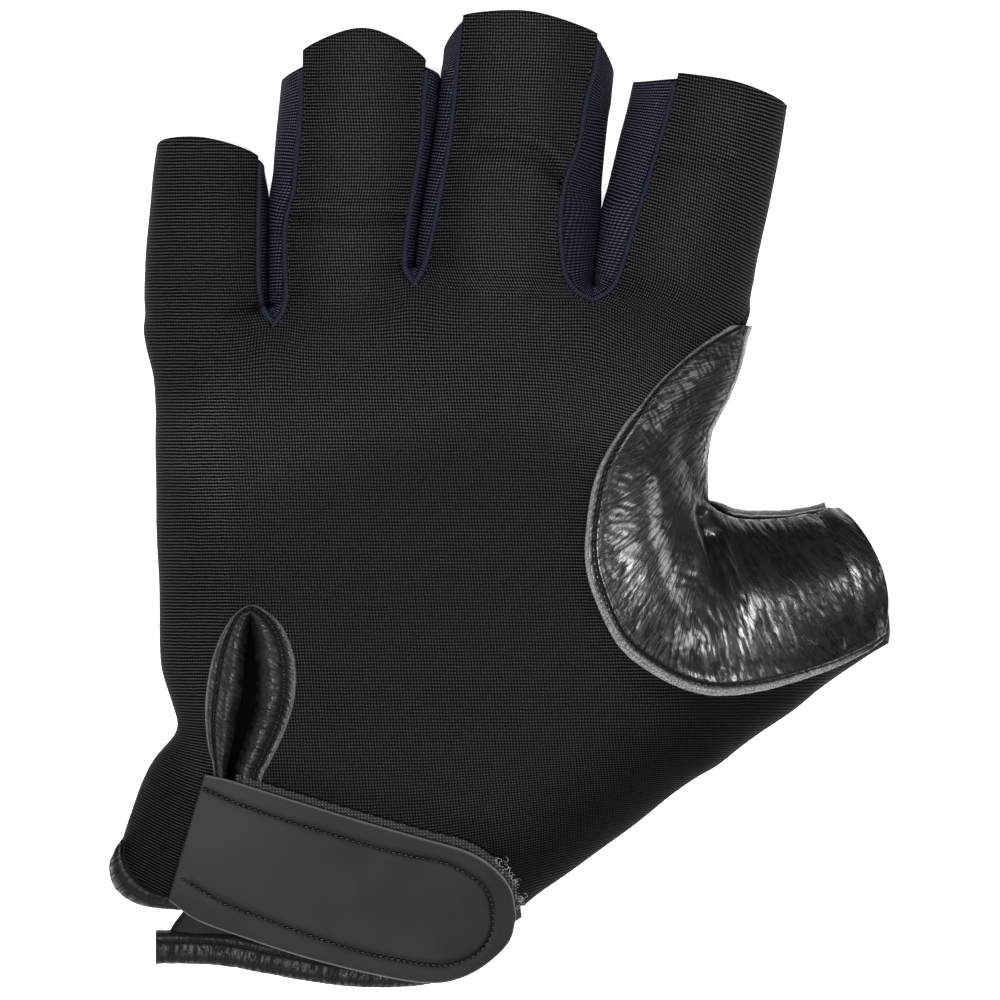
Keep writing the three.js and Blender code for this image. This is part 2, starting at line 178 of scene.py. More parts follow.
def section_depth(table, across, along, up):
    """How far inside a tube a point lies, in millimetres. It is negative outside."""
    left, right, height = (np.interp(along, table[0], table[c]) for c in (1, 2, 3))
    half = (right - left) / 2
    waist = height * WAIST
    reach = np.where(up > waist, height - waist, waist + FLATTENED)
    u = np.abs(across - (left + right) / 2) / half
    v = np.abs(up - waist) / reach
    radius = np.maximum((u**ROUNDNESS + v**ROUNDNESS) ** (1 / ROUNDNESS), 0.05)
    slope_u = (u / radius) ** (ROUNDNESS - 1) / half
    slope_v = (v / radius) ** (ROUNDNESS - 1) / reach
    depth = (1 - radius) / np.maximum(np.hypot(slope_u, slope_v), 1e-3)
    return np.minimum(depth, np.minimum(along - table[0][0], table[0][-1] - along))


hand_table = softened(HAND)
thumb_table = softened([(x, -high, -low, height) for x, low, high, height in THUMB])
finger_tables = [softened(rows) for rows in FINGERS.values()]
knuckle_line = softened(KNUCKLES, sigma=3.0)


def soft_max(values, softness=SOFTNESS):
    """The largest of the values, rounded off where two of them are nearly equal."""
    top = np.max(values, axis=0)
    return top + softness * np.log(np.sum(np.exp((values - top) / softness), axis=0))


def fading(own, finger):
    """How much a finger is left out near the fingertips, where another finger is wanted."""
    if own is None:
        return 0.0
    if isinstance(own, int):
        return float(own != finger)
    return own[..., finger]


def depth(points, own=None):
    """Depth inside the whole hand. Near the fingertips only the finger called own counts."""
    x, y, z = points[..., 0], points[..., 1], points[..., 2]
    front = np.interp(x, knuckle_line[0], knuckle_line[1])
    hand = -soft_max(np.array([-section_depth(hand_table, x, y, z), y - front]), EDGE_SOFTNESS)
    depths = [hand, section_depth(thumb_table, -y, x, z)]
    fade = np.maximum(0, y - front + FADE_START)
    ingrown = GROWTH_DEPTH * (1 - ramp(y, *GROWTH))
    for which, table in enumerate(finger_tables):
        left_out = fade * fading(own, which) + ingrown * (which == PINKY)
        depths.append(section_depth(table, x, y, z) - left_out)
    inside = soft_max(np.array(depths))
    return np.minimum(inside, z)


def outward(points, own=None):
    """The direction out of the form at points near its surface."""
    axes = np.eye(3) * SLOPE_REACH
    slope = [depth(points - axis, own) - depth(points + axis, own) for axis in axes]
    slope = np.stack(slope, axis=-1)
    return slope / np.maximum(np.linalg.norm(slope, axis=-1, keepdims=True), 1e-9)


def cast(origin, direction, lift=0.0, own=None):
    """Where rays from inside meet the surface, or the surface lifted by that many millimetres."""
    travel = np.zeros(origin.shape[:-1])
    for _ in range(RAY_STEPS):
        travel += RAY_PACE * (depth(origin + travel[..., None] * direction, own) + lift)
        travel = np.maximum(travel, 0.0)
    return origin + travel[..., None] * direction


def with_height(plan, height):
    """Plan points, or plan directions, with a third coordinate."""
    plan = np.asarray(plan, float)[..., :2]
    return np.concatenate([plan, np.broadcast_to(height, plan.shape[:-1])[..., None]], axis=-1)


def top_at(plan, lift=0.0, own=None):
    """The points of the surface above plan points."""
    return cast(with_height(plan, CORE_HEIGHT), np.array([0.0, 0.0, 1.0]), lift, own)


def bottom_at(plan):
    """The points of the underside below plan points."""
    return cast(with_height(plan, CORE_HEIGHT), np.array([0.0, 0.0, -1.0]))


def side_at(plan, heading, height, own=None):
    """The points of the side wall at a height, found from plan points inside along a heading."""
    origin = with_height(plan, height)
    return cast(origin, np.broadcast_to(with_height(heading, 0.0), origin.shape), own=own)


print("top of the hand", np.round(top_at([[-12.0, 0.0], [3.0, 60.0], [55.0, -20.0]])[:, 2], 2), "mm")

# %% [markdown]
# ## Seam lines and rows
#
# A pattern cutter draws the pieces flat, with their seams as curves. Here each seam is a short list of plan
# points that a smooth curve runs through. Between two seams, rows of points arch over the form, evenly
# spaced along the surface, so every panel becomes a tidy grid whose borders are the real seams.

# %% Curves and arching rows


def through(points, each=12):
    """A smooth curve through points, sampled."""
    points = np.array(points, float)
    padded = np.vstack([2 * points[0] - points[1], points, 2 * points[-1] - points[-2]])
    t = np.linspace(0, 1, each, endpoint=False)[:, None]
    pieces = []
    for a, b, c, d in zip(padded, padded[1:], padded[2:], padded[3:]):
        bent, twisted = 2 * a - 5 * b + 4 * c - d, 3 * b - a - 3 * c + d
        pieces.append(0.5 * (2 * b + (c - a) * t + bent * t**2 + twisted * t**3))
    return np.vstack(pieces + [points[-1:]])


def evenly(line, count):
    """A curve's points spread evenly along it."""
    length = run_along(line)
    wanted = np.linspace(0, length[-1], count)
    return np.stack([np.interp(wanted, length, line[:, c]) for c in range(line.shape[1])], axis=1)


def by_height(curves, heights):
    """Points of a line that climbs steadily, at the wanted places along Y."""
    line = np.vstack(curves)
    order = np.argsort(line[:, 1], kind="stable")
    return np.stack([np.interp(heights, line[order, 1], line[order, 0]), heights], axis=1)


def arch(start, end, count, lift=0.0, own=None, under=False, bow=None, dense=110):
    """Rows over the form, or under it, from start points to end points, and the length run along them."""
    plan = end[:, :2] - start[:, :2]
    span = np.linalg.norm(plan, axis=1)
    heading = plan / span[:, None]
    centre = start[:, :2] + plan / 2
    turn = -1.0 if under else 1.0
    first = np.arctan2(turn * (start[:, 2] - CORE_HEIGHT), -span / 2)
    first = np.where(first < 0, first + 2 * math.pi, first)
    last = np.arctan2(turn * (end[:, 2] - CORE_HEIGHT), span / 2)
    t = np.linspace(0, 1, dense)
    angle = first[:, None] + (last - first)[:, None] * t
    direction = np.empty(angle.shape + (3,))
    direction[..., :2] = np.cos(angle)[..., None] * heading[:, None, :]
    direction[..., 2] = turn * np.sin(angle)
    origin = np.empty_like(direction)
    origin[..., :2] = centre[:, None, :]
    origin[..., 2] = CORE_HEIGHT
    if bow is not None:
        origin[..., :2] += bow[:, None, :] * ((1 - (2 * t - 1) ** 2) ** 0.85)[None, :, None]
    line = cast(origin, direction, lift, own)
    line[:, 0], line[:, -1] = start, end
    return respaced(line, count)


def at_lengths(line, length, wanted):
    """The points of each row at the wanted lengths along it."""
    return np.stack(
        [[np.interp(w, l, row[:, c]) for w, l, row in zip(wanted, length, line)] for c in range(3)], axis=-1
    )


def respaced(line, count):
    """Rows of points spread evenly along the surface, with the length run so far."""
    length = run_along(line)
    wanted = np.linspace(0, 1, count)[None, :] * length[:, -1:]
    return at_lengths(line, length, wanted), wanted


# %% [markdown]
# ## From grids to cloth
#
# A panel is several grids that share their borders. They are welded into one sheet, moved by whatever folds
# the panel has, and given a thickness towards the hand, with a rim all round. Each point keeps a place in
# the flat cloth, in millimetres, so that ribs and grain follow the panel, and a few painted values.

# %% Sheets with a thickness
# points that are closer than this are welded
WELD = 0.04
# how far the web is drawn in at each place along the hand, and where across the hand the pull is full
WEB_HEIGHTS = [-8, -3, 2, 7.6, 13.3, 19, 31, 36, 42]
WEB_PULL = [0.0, 0.2, 1.0, 2.1, 2.8, 1.8, 1.7, 0.5, 0.0]
WEB_START = 39.5
WEB_REACH = 12.5


def drawn_in(points):
    """The web between thumb and index finger is drawn in by its seam, and the thumb's side with it."""
    x, y = points[..., 0], points[..., 1]
    ahead = 1 - np.clip((WEB_START - x) / WEB_REACH, 0, 1) ** 2
    moved = np.array(points, float)
    moved[..., 0] -= np.interp(y, WEB_HEIGHTS, WEB_PULL) * ahead
    lowered = np.clip((y + 9) / 8, 0, 1) * np.clip((x - 38) / 7, 0, 1) * np.clip((6 - y) / 4, 0, 1)
    moved[..., 1] -= lowered**2
    return moved


class Sheet:
    """Grids of points that are welded into one closed piece."""

    def __init__(self):
        self.points, self.normals, self.flow, self.paint, self.faces = [], [], [], [], []
        self.total = 0

    def add(self, grid, flow, own=None, paint=None, normals=None):
        rows, columns = grid.shape[:2]
        normals = outward(grid, own) if normals is None else normals
        number = self.total + np.arange(rows * columns).reshape(rows, columns)
        quads = np.stack([number[:-1, :-1], number[:-1, 1:], number[1:, 1:], number[1:, :-1]], axis=-1)
        across = grid[:-1, 1:] - grid[:-1, :-1]
        onward = grid[1:, :-1] - grid[:-1, :-1]
        facing = np.sum(np.cross(across, onward) * normals[:-1, :-1])
        quads = quads.reshape(-1, 4)
        self.faces.append(quads if facing > 0 else quads[:, ::-1])
        self.points.append(drawn_in(grid.reshape(-1, 3)))
        self.normals.append(normals.reshape(-1, 3))
        self.flow.append(flow.reshape(-1, 2))
        self.paint.append(np.zeros((rows * columns, 3)) if paint is None else paint.reshape(-1, 3))
        self.total += rows * columns
        return self

    def piece(self, name, thickness, fold=None):
        """The closed piece as an object. fold moves the outer face along its normals."""
        points, normals, flow, paint, faces = (
            np.concatenate(part) for part in (self.points, self.normals, self.flow, self.paint, self.faces)
        )
        points, normals, flow, paint, faces = welded(points, normals, flow, paint, faces)
        if fold is not None:
            points = points + normals * fold(points)[:, None]
        count = len(points)
        inner = points - normals * thickness
        edges = np.concatenate([faces[:, [i, (i + 1) % 4]] for i in range(4)])
        edges = edges[edges[:, 0] != edges[:, 1]]
        key = edges[:, 0] * count + edges[:, 1]
        reverse = edges[:, 1] * count + edges[:, 0]
        rim = edges[~np.isin(key, reverse)]
        rim = np.stack([rim[:, 1], rim[:, 0], rim[:, 0] + count, rim[:, 1] + count], axis=1)
        every = np.concatenate([faces, faces[:, ::-1] + count, rim])
        both_sides = np.concatenate([points, inner])
        return mesh_object(name, both_sides, every, np.tile(flow, (2, 1)), np.tile(paint, (2, 1)))


def welded(points, normals, flow, paint, faces):
    """Joins points that lie on one another, as the borders of neighbouring grids do."""
    cell = np.round(points / WELD).astype(np.int64)
    owner = {}
    target = np.arange(len(points))
    near = [(i, j, k) for i in (0, -1, 1) for j in (0, -1, 1) for k in (0, -1, 1)]
    edge_count = np.bincount(faces.ravel(), minlength=len(points))
    for index in np.flatnonzero(edge_count < 4):
        place = tuple(cell[index])
        for step in near:
            found = owner.get((place[0] + step[0], place[1] + step[1], place[2] + step[2]))
            if found is not None and np.sum((points[found] - points[index]) ** 2) < WELD**2:
                target[index] = found
                break
        else:
            owner[place] = index
    kept = np.flatnonzero(target == np.arange(len(points)))
    renumber = np.full(len(points), -1)
    renumber[kept] = np.arange(len(kept))
    return points[kept], normals[kept], flow[kept], paint[kept], renumber[target][faces]


def mesh_object(name, points, faces, flow, paint):
    """A Blender object from millimetre points, with its cloth places and painted values."""
    polygons = []
    for face in faces.tolist():
        corners = [v for i, v in enumerate(face) if v != face[i - 1]]
        if len(corners) > 2:
            polygons.append(corners)
    mesh = bpy.data.meshes.new(name)
    mesh.from_pydata((points * MM).tolist(), [], polygons)
    corner = np.empty(len(mesh.loops), int)
    mesh.loops.foreach_get("vertex_index", corner)
    layer = mesh.uv_layers.new(name="flow")
    layer.data.foreach_set("uv", flow[corner].ravel())
    colours = mesh.color_attributes.new("paint", "FLOAT_COLOR", "POINT")
    colours.data.foreach_set("color", np.hstack([paint, np.ones((len(paint), 1))]).ravel())
    mesh.shade_smooth()
    made = bpy.data.objects.new(name, mesh)
    bpy.context.scene.collection.objects.link(made)
    return made


def distance_to(points, line):
    """Plan distance from points to a line."""
    line = np.array(line, float)
    best = np.full(points.shape[:-1], np.inf)
    for a, b in zip(line, line[1:]):
        along = b - a
        share = np.clip(((points[..., :2] - a) @ along) / (along @ along), 0, 1)
        best = np.minimum(best, np.linalg.norm(points[..., :2] - a - share[..., None] * along, axis=-1))
    return best


def near_line(points, line, reach):
    """1 on a plan line, falling smoothly to 0 beyond the reach."""
    return np.exp(-((distance_to(points, line) / reach) ** 2))


def finish_piece(piece, material, slot, *nodes):
    """Paints a finished piece and lets it take the place of its plain solid."""
    piece.data.materials.clear()
    piece.data.materials.append(material)
    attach(piece, "root")
    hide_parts(*nodes)
    triangles = sum(len(p.vertices) - 2 for p in piece.data.polygons)
    print(f"{piece.name}: {triangles} triangles")


# %% [markdown]
# ## The seams, as plan curves
#
# Each seam line climbs from the wrist to the fingertips. It is kept as one smooth curve and read off at any
# height along the hand. The four row marks are the hem, the end of the wrist slit, the crotches between the
# fingers and the openings of the fingers.

# %% Seam lines
ROWS_PALM, ROWS_MIDDLE, ROWS_FINGER = 74, 78, 66
CORNER = {"pinky": (67.6, 65.4), "ring": (85.4, 83.6), "middle": (92.1, 88.6), "index": (81.1, 75.2)}
BOW = {"pinky": 2.3, "ring": 5.1, "middle": 2.4, "index": 1.5}
BOW_REACH = 12.0
SLIT_END = -20.0
PINKY_CROTCH, MIDDLE_CROTCH, INDEX_CROTCH = 33.0, 40.8, 37.6
CROTCHES = [(-42.8, PINKY_CROTCH), (-16.2, MIDDLE_CROTCH), (17.6, INDEX_CROTCH)]
WING_TOP = -21.0
INDEX_BASE = 31.0
# how far inside a side wall a ray towards it starts
INSET = 9.0

slit_left_side = [
    (-52.8, -79), (-53.0, -64.6), (-53.4, -51.5), (-52.2, -44), (-51.0, -37.4), (-50.2, -30),
    (-49.0, -24), (-47.2, -20),
]
slit_right_side = [
    (-47.6, -80), (-48.0, -64.6), (-48.4, -52.3), (-46.8, -46.4), (-44.6, -40.5), (-44.0, -35),
    (-44.6, -27.4), (-46.0, -22), (-47.2, -20),
]
pinky_ring_column = [(-47.2, -20), (-46.2, 0), (-44.6, 20), (-42.8, 33.0)]
pinky_right = [
    (-42.8, 33.0), (-45.0, 36.0), (-46.0, 40.5), (-46.2, 48), (-46.1, 57), (-45.7, 72), (-45.7, 96),
]
ring_left = [
    (-42.8, 33.0), (-40.9, 35.4), (-40.2, 39), (-40.5, 46), (-40.3, 53), (-38.9, 58), (-38.3, 64.6),
    (-37.5, 74), (-37.3, 96),
]
ring_middle_column = [(-20.0, -84), (-17.5, 0), (-17.2, 30), (-16.2, 40.8)]
ring_right = [
    (-16.2, 40.8), (-17.6, 42.6), (-18.4, 46), (-17.0, 57), (-15.1, 68), (-14.7, 76), (-12.4, 98),
]
middle_left = [(-16.2, 40.8), (-14.8, 42.6), (-13.0, 48), (-10.7, 59.7), (-8.8, 71.4), (-6.4, 98)]
middle_index_column = [(0.0, -84), (6.0, -40), (12.0, 0), (15.5, 22), (17.6, 37.6)]
middle_right = [
    (17.6, 37.6), (14.2, 39.6), (12.0, 43.4), (11.2, 52), (12.1, 60), (14.7, 67.5), (16.2, 76),
    (18.3, 84.7), (19.1, 98),
]
index_left = [
    (17.6, 37.6), (20.8, 39.4), (22.9, 42.6), (25.6, 51.3), (28.6, 61.2), (31.3, 70.3), (33.7, 80),
    (36.6, 98),
]
wing_line = [(0.0, -82), (2.0, -77), (10.0, -60), (18.5, -40), (26.0, -21)]
under_leather = [
    (26.0, -21), (22.8, -10), (23.4, 0), (27.2, 9.5), (34.0, 18.5), (41.0, 25.6), (46.6, 31.0),
]
index_side = [(46.6, 31.0), (47.4, 43.7), (49.1, 55), (51.4, 66.5), (52.2, 72.2), (53.2, 90)]
crescent = [
    (46.1, 32.8), (37.1, 26.8), (27.2, 18.1), (21.5, 10.5), (18.3, 3.8), (16.8, -4.0),
    (16.4, -11.7), (18.1, -18.8), (22.8, -28.1), (29.7, -33.6), (37.1, -37.0), (44.0, -37.6),
    (52.9, -36.3), (62.8, -33.1), (72.9, -28.0),
]
LEFT_SIDE = -45.0
TO_LEFT, TO_RIGHT = (-1.0, 0.0), (1.0, 0.0)


def marks(*heights):
    """The place along Y of each row of a boundary, from its places at the four row marks."""
    counts = (ROWS_PALM, ROWS_MIDDLE, ROWS_FINGER)[: len(heights) - 1]
    parts = [np.linspace(a, b, n, endpoint=False) for a, b, n in zip(heights, heights[1:], counts)]
    return np.concatenate(parts + [[heights[-1]]])


def seam(heights, *curves, own=None):
    """Points on the top of the form along a seam line."""
    plan = by_height([through(curve) for curve in curves], heights)
    return top_at(plan, own=own)


HEM_BOW = {"pinky": -5.8, "ring": -0.6, "middle": -1.6, "index": 0.0}


def finger_rows(name, start, end, own, columns, corner_bow):
    """The rows of one strip of the back. They bow towards the fingertip near the opening."""
    reach = np.maximum(start[:, 1], end[:, 1])
    bow = corner_bow * ramp(reach, reach[-1] - BOW_REACH, reach[-1])
    bow = bow + HEM_BOW[name] * ramp(-np.arange(len(start)), -30, 0)
    bow = bow[:, None] * np.array([0.0, 1.0])
    return arch(start, end, columns, own=own, bow=bow)


# %% [markdown]
# ## The black back
#
# The back is cut from one piece of ribbed stretch knit that covers the hand and runs out over the top of
# each finger. It is modelled as five strips that share their borders: one for each finger and a wing that
# reaches the thumb. The knit's own lines run across the hand, so the cloth coordinates follow the strips:
# u is measured along a row and v climbs with the rows.

# %% Grids of the back
left_heights = marks(-66.0, -20.0, 34.0, CORNER["pinky"][0])
left_plan = np.stack([np.full_like(left_heights, LEFT_SIDE), left_heights], axis=1)
left_seam = side_at(left_plan, TO_LEFT, SIDE_SEAM, own=PINKY)
shared = len(marks(0, 1, 2))


def finger_seam(hem, crotch, tip, finger, *curves):
    """The border of a finger's strip, from the hem past the slit's end and the crotch to the tip."""
    return seam(marks(hem, SLIT_END, crotch, tip), *curves, own=finger)


pinky_end = finger_seam(
    -77.5, PINKY_CROTCH, CORNER["pinky"][1], PINKY, slit_left_side, pinky_ring_column, pinky_right
)
ring_start = finger_seam(
    -79.0, PINKY_CROTCH, CORNER["ring"][0], RING, slit_right_side, pinky_ring_column, ring_left
)
ring_start[ROWS_PALM:shared] = pinky_end[ROWS_PALM:shared]
ring_end = finger_seam(-83.0, MIDDLE_CROTCH, CORNER["ring"][1], RING, ring_middle_column, ring_right)
middle_start = finger_seam(
    -83.0, MIDDLE_CROTCH, CORNER["middle"][0], MIDDLE, ring_middle_column, middle_left
)
middle_start[:shared] = ring_end[:shared]
middle_end = finger_seam(
    -80.0, INDEX_CROTCH, CORNER["middle"][1], MIDDLE, middle_index_column, middle_right
)
index_start = finger_seam(-80.0, INDEX_CROTCH, CORNER["index"][0], INDEX, middle_index_column, index_left)
index_start[:shared] = middle_end[:shared]
index_end_heights = marks(-77.0, WING_TOP, INDEX_BASE, CORNER["index"][1])
index_end = seam(index_end_heights, wing_line, under_leather, index_side, own=INDEX)
finger_side = index_end[shared - 1 :]
pulled_in = finger_side[:, :2] - INSET * np.array(TO_RIGHT)
on_side = side_at(pulled_in, TO_RIGHT, INDEX_SEAM, own=INDEX)
settle = ramp(finger_side[:, 1], INDEX_BASE, INDEX_BASE + 7.0)[:, None]
index_end[shared - 1 :] = finger_side * (1 - settle) + on_side * settle

STRIPS = [
    ("pinky", left_seam, pinky_end, 30),
    ("ring", ring_start, ring_end, 42),
    ("middle", middle_start, middle_end, 42),
    ("index", index_start, index_end, 46),
]


def bend(values, width=6.0):
    """0 for negative values and rising smoothly to a slope of 1."""
    return width * np.logaddexp(0, values / width)


def course_height(x, y):
    """Where a point lies up the cloth. Its lines of equal height are the courses of the knit."""
    right = 0.46 * bend(x - 19) * ramp(y, -10, 18) * (1 - 0.62 * ramp(y, 30, 92))
    left = -0.55 * bend(-57 - x, 3.0) * ramp(-y, 38, 52)
    strap = -0.32 * bend(x + 14) * ramp(-y, 42, 74)
    dips = 0.0
    for crotch_x, crotch_y in CROTCHES:
        across, up = (x - crotch_x) / 5.0, (y - crotch_y + 3.0) / 7.0
        dips = dips - 1.3 * np.exp(-(across**2) - up**2)
    return y + right + left + strap + dips


def strip_flow(grid, length, start):
    """Cloth coordinates: u along the row, from where the strip starts, and v up the hand."""
    crotch = shared - 1
    begin = np.array(start, float)
    middle = begin[crotch] + length[crotch, -1] / 2
    begin[crotch:] = middle - length[crotch:, -1] / 2
    return np.stack([begin[:, None] + length, course_height(grid[..., 0], grid[..., 1])], axis=-1)


# the line of each fold behind a finger's opening, how high it stands (or how deep it lies) and its width
FINGER_FOLDS = [
    ([(-39, 56), (-28, 55.2), (-18, 55.4)], 0.75, 1.3),
    ([(-39, 54.2), (-28, 53.4), (-18, 53.8)], -0.80, 1.2),
    ([(-4.6, 70.2), (3.0, 69.4), (8.4, 67.6), (11.5, 64.6)], 1.05, 1.4),
    ([(-3.6, 67.6), (3.2, 67.0), (7.8, 65.2), (12.4, 60.2)], -1.15, 1.3),
    ([(31, 67.4), (37, 66.2), (44, 65.6)], 0.60, 1.3),
    ([(30.5, 65.6), (37, 64.4), (44.5, 64.0)], -0.65, 1.2),
]


# the middle of each finger's back, and how much lighter a painted sheen makes the cloth on it
FINGER_MIDDLES = [([(-29, 40), (-26, 84)], 0.55), ([(0, 42), (4, 90)], 0.80), ([(33, 46), (42, 74)], 0.55)]


def rib_paint(grid):
    """Where the knit shows ribs rather than dots, beside its edges and seams, and the light and shade
    painted on it.
    """
    points = grid.reshape(-1, 3)
    x, y = points[:, 0], points[:, 1]
    ribs = np.maximum(ramp(-x, 46, 53), 0.85 * ramp(-y, 52, 66) * ramp(-x, 30, 44))
    for line in (pinky_right, ring_left, ring_right, middle_left, middle_right, index_left):
        ribs = np.maximum(ribs, 0.95 * near_line(points, line[2:], 3.0))
    ribs = np.maximum(ribs, near_line(points, [(53, 92), (49, 55), (44, 30), (36, 22)], 7.0))
    ribs = np.maximum(ribs, 0.9 * near_line(points, crescent, 4.0))
    ribs = np.maximum(ribs, near_line(points, [(4, -79), (26, -62), (44, -48), (74, -28)], 10.0))
    ribs = np.maximum(ribs, 0.6 * near_line(points, [(-30, -62), (-6, -66), (4, -74)], 4.0))
    # painted light and shade: lighter over the knuckles, along the middles of the fingers and on the tops
    # of the folds; darker at the left edge and the lower left corner, along the wing's lower edge below the
    # thumb, beside the leather's border, in the hollows of the folds and just above the tab
    painted_light = 0.5 - 0.14 * ramp(-x, 50, 58)
    painted_light += 0.80 * near_line(points, [(-52, 10), (-29, 22), (1, 28), (24, 20)], 12.0)
    for middle_line, lighter in FINGER_MIDDLES:
        painted_light = np.maximum(painted_light, 0.5 + lighter * near_line(points, middle_line, 6.5))
    painted_light -= 0.64 * near_line(points, [(8, -76), (30, -58), (48, -44), (74, -28)], 14.0)
    painted_light -= 0.30 * ramp(-x, 56, 64) * ramp(-y, 30, 46)
    painted_light -= 0.22 * near_line(points, crescent, 3.0)
    for line, lift, reach in FINGER_FOLDS:
        painted_light += 0.32 * lift * near_line(points, line, reach)
    painted_light -= 0.20 * near_line(points, [(-50, -50), (-26, -58), (-4, -65), (6, -76)], 4.0)
    paint = np.stack([ribs, np.clip(painted_light, 0, 1), np.zeros(len(points))], axis=1)
    return paint.reshape(grid.shape)


back_rows = {}
back_lengths = {}
for which, (name, start, end, columns) in enumerate(STRIPS):
    back_rows[name], back_lengths[name] = finger_rows(name, start, end, which, columns, BOW[name])
widths = {name: length[:, -1] for name, length in back_lengths.items()}
strip_starts = {
    "pinky": -widths["ring"] - widths["pinky"], "ring": -widths["ring"],
    "middle": 0 * widths["middle"], "index": widths["middle"],
}
back_sheet = Sheet()
for which, (name, grid) in enumerate(back_rows.items()):
    flow = strip_flow(grid, back_lengths[name], strip_starts[name])
    back_sheet.add(grid, flow, own=which, paint=rib_paint(grid))

wing_start = index_end[: ROWS_PALM + 1]
WING_EDGE = [
    (4.6, -77.0), (8.5, -74.0), (14.0, -70.3), (19.3, -66.5), (26.9, -60.8), (35.0, -54.8),
    (41.6, -49.4), (47.6, -46), (55.2, -40.5), (62.8, -34.6), (69.0, -30.6), (74.4, -27.4),
]
WING_COLUMNS = 56
TO_WING = np.array([0.62, -0.785])
wing_seam = evenly(through(WING_EDGE), ROWS_PALM + 1)
wing_side = side_at(wing_seam - INSET * TO_WING, TO_WING, SIDE_SEAM)
wing, wing_length = arch(wing_start, wing_side, WING_COLUMNS)
wing_begin = (strip_starts["index"] + widths["index"])[: ROWS_PALM + 1, None]
wing_flow = np.stack([wing_length + wing_begin, course_height(wing[..., 0], wing[..., 1])], axis=-1)
back_sheet.add(wing, wing_flow, paint=rib_paint(wing))


def back_folds(points):
    """Low folds and hollows: the crease behind each finger's opening, the hollows between the knuckles."""
    x, y = points[:, 0], points[:, 1]
    lift = sum(height * near_line(points, line, reach) for line, height, reach in FINGER_FOLDS)
    lift -= 0.5 * near_line(points, [(-42.8, 32), (-41, 18), (-37, 0)], 5.0)
    lift -= 0.6 * near_line(points, [(-16.4, 40), (-15, 26), (-12, 10)], 5.0)
    lift -= 0.7 * near_line(points, [(17.6, 37), (18, 26), (17, 12)], 4.5)
    rise = near_line(points, crescent[:-1], 2.6)
    inside_patch = ramp(x, 15, 22) * ramp(-np.abs(y + 2), -34, -20)
    lift -= 0.35 * rise * (1 - 0.5 * inside_patch)
    lift += 0.22 * np.sin(x * 0.30 + y * 0.11 + 1.2) * np.sin(y * 0.17 - x * 0.06) * ramp(-y, -30, 10)
    return lift


back_piece = back_sheet.piece("knit_back", KNIT, fold=back_folds)
print("the back's strips", {name: rows.shape[:2] for name, rows in back_rows.items()})

# %% [markdown]
# ## The navy walls between the fingers
#
# A fourchette is a long narrow strip folded round each crotch. It gives a finger its side wall. Its upper
# edge is sewn to the back and its lower edge to the palm, so it runs down one finger, round the crotch and
# up the next. Near the openings it is cut back a little towards the palm.

# %% Fourchettes
# the finger, its seam and its opening, on the left and on the right of each wall
FOURCHETTES = {
    "fourchette_pinky_ring": (PINKY, pinky_right, 65.6, RING, ring_left, 84.2),
    "fourchette_ring_middle": (RING, ring_right, 83.4, MIDDLE, middle_left, 91.8),
    "fourchette_middle_index": (MIDDLE, middle_right, 88.0, INDEX, index_left, 81.0),
}
# how far the openings' edge falls back along each side wall
WALL_DROPS = {
    "fourchette_pinky_ring": (1.4, 2.9),
    "fourchette_ring_middle": (2.5, 6.0),
    "fourchette_middle_index": (6.4, 2.2),
}
DROP_REACH = 14.0
# the heights between which the two sides of each wall come to touch
WALLS_MEET = {
    "fourchette_pinky_ring": (63.0, 56.5),
    "fourchette_ring_middle": (83.6, 80.8),
    "fourchette_middle_index": (60.0, 54.8),
}
WALL_COLUMNS = 16
CROTCH_TURN = 7.0
CORE_DEPTH = 5.0
WALL_STEP = 0.75
WALL_RAYS = 60
wall_shares = np.linspace(0, 1, WALL_COLUMNS)


def wall_plan(left_curve, left_top, right_curve, right_top):
    """Points along a fourchette's upper seam: down the left finger, round the crotch, up the right one."""
    left = through(left_curve)[::-1]
    right = through(right_curve)
    line = np.vstack([left[left[:, 1] < left_top], right[1:][right[1:, 1] < right_top]])
    total = np.sum(np.linalg.norm(np.diff(line, axis=0), axis=1))
    line = evenly(line, int(total / WALL_STEP))
    return line, int(np.argmin(line[:, 1]))


def normalised(vectors):
    return vectors / np.linalg.norm(vectors, axis=-1, keepdims=True)


def smoothed(values, radius):
    """Columns of values, each smoothed over its neighbours."""
    kernel = np.hanning(2 * radius + 1)
    kernel /= kernel.sum()
    padded = np.pad(values, ((radius, radius), (0, 0)), mode="edge")
    columns = [np.convolve(column, kernel, mode="valid") for column in padded.T]
    return np.stack(columns, axis=1)


def leftward(line):
    """The plan direction to the left of a line, at each of its points."""
    run = np.gradient(line, axis=0)
    return normalised(np.stack([-run[:, 1], run[:, 0]], axis=1))


def wall_lines(core, outwards, upper, lower, faded):
    """Points that turn from a wall's upper seam down to its lower seam, seen from inside the finger."""
    drop_angle = np.arctan2(FINGER_SEAM - CORE_HEIGHT, np.linalg.norm(lower[:, :2] - core, axis=1))
    rise_angle = np.arctan2(upper[:, 2] - CORE_HEIGHT, CORE_DEPTH)
    angle = rise_angle[:, None] + (drop_angle - rise_angle)[:, None] * np.linspace(0, 1, WALL_RAYS)
    direction = np.cos(angle)[..., None] * with_height(outwards, 0.0)[:, None, :]
    direction[..., 2] = np.sin(angle)
    origin = np.broadcast_to(with_height(core, CORE_HEIGHT)[:, None, :], direction.shape)
    line = cast(origin, direction, own=faded)
    line[:, 0], line[:, -1] = upper, lower
    return line


def cut_back(grid, plan, side, top, drop):
    """Lets the opening's edge fall back by a drop, growing down the wall."""
    fallen = ramp(wall_shares, -0.35, 0.62)[None, :]
    fallen = (fallen - fallen[:, :1]) / (fallen[:, -1:] - fallen[:, :1])
    near_top = np.clip((plan[side, 1] - top + DROP_REACH) / DROP_REACH, 0, 1)[:, None]
    grid[side, :, 1] -= drop * near_top * fallen


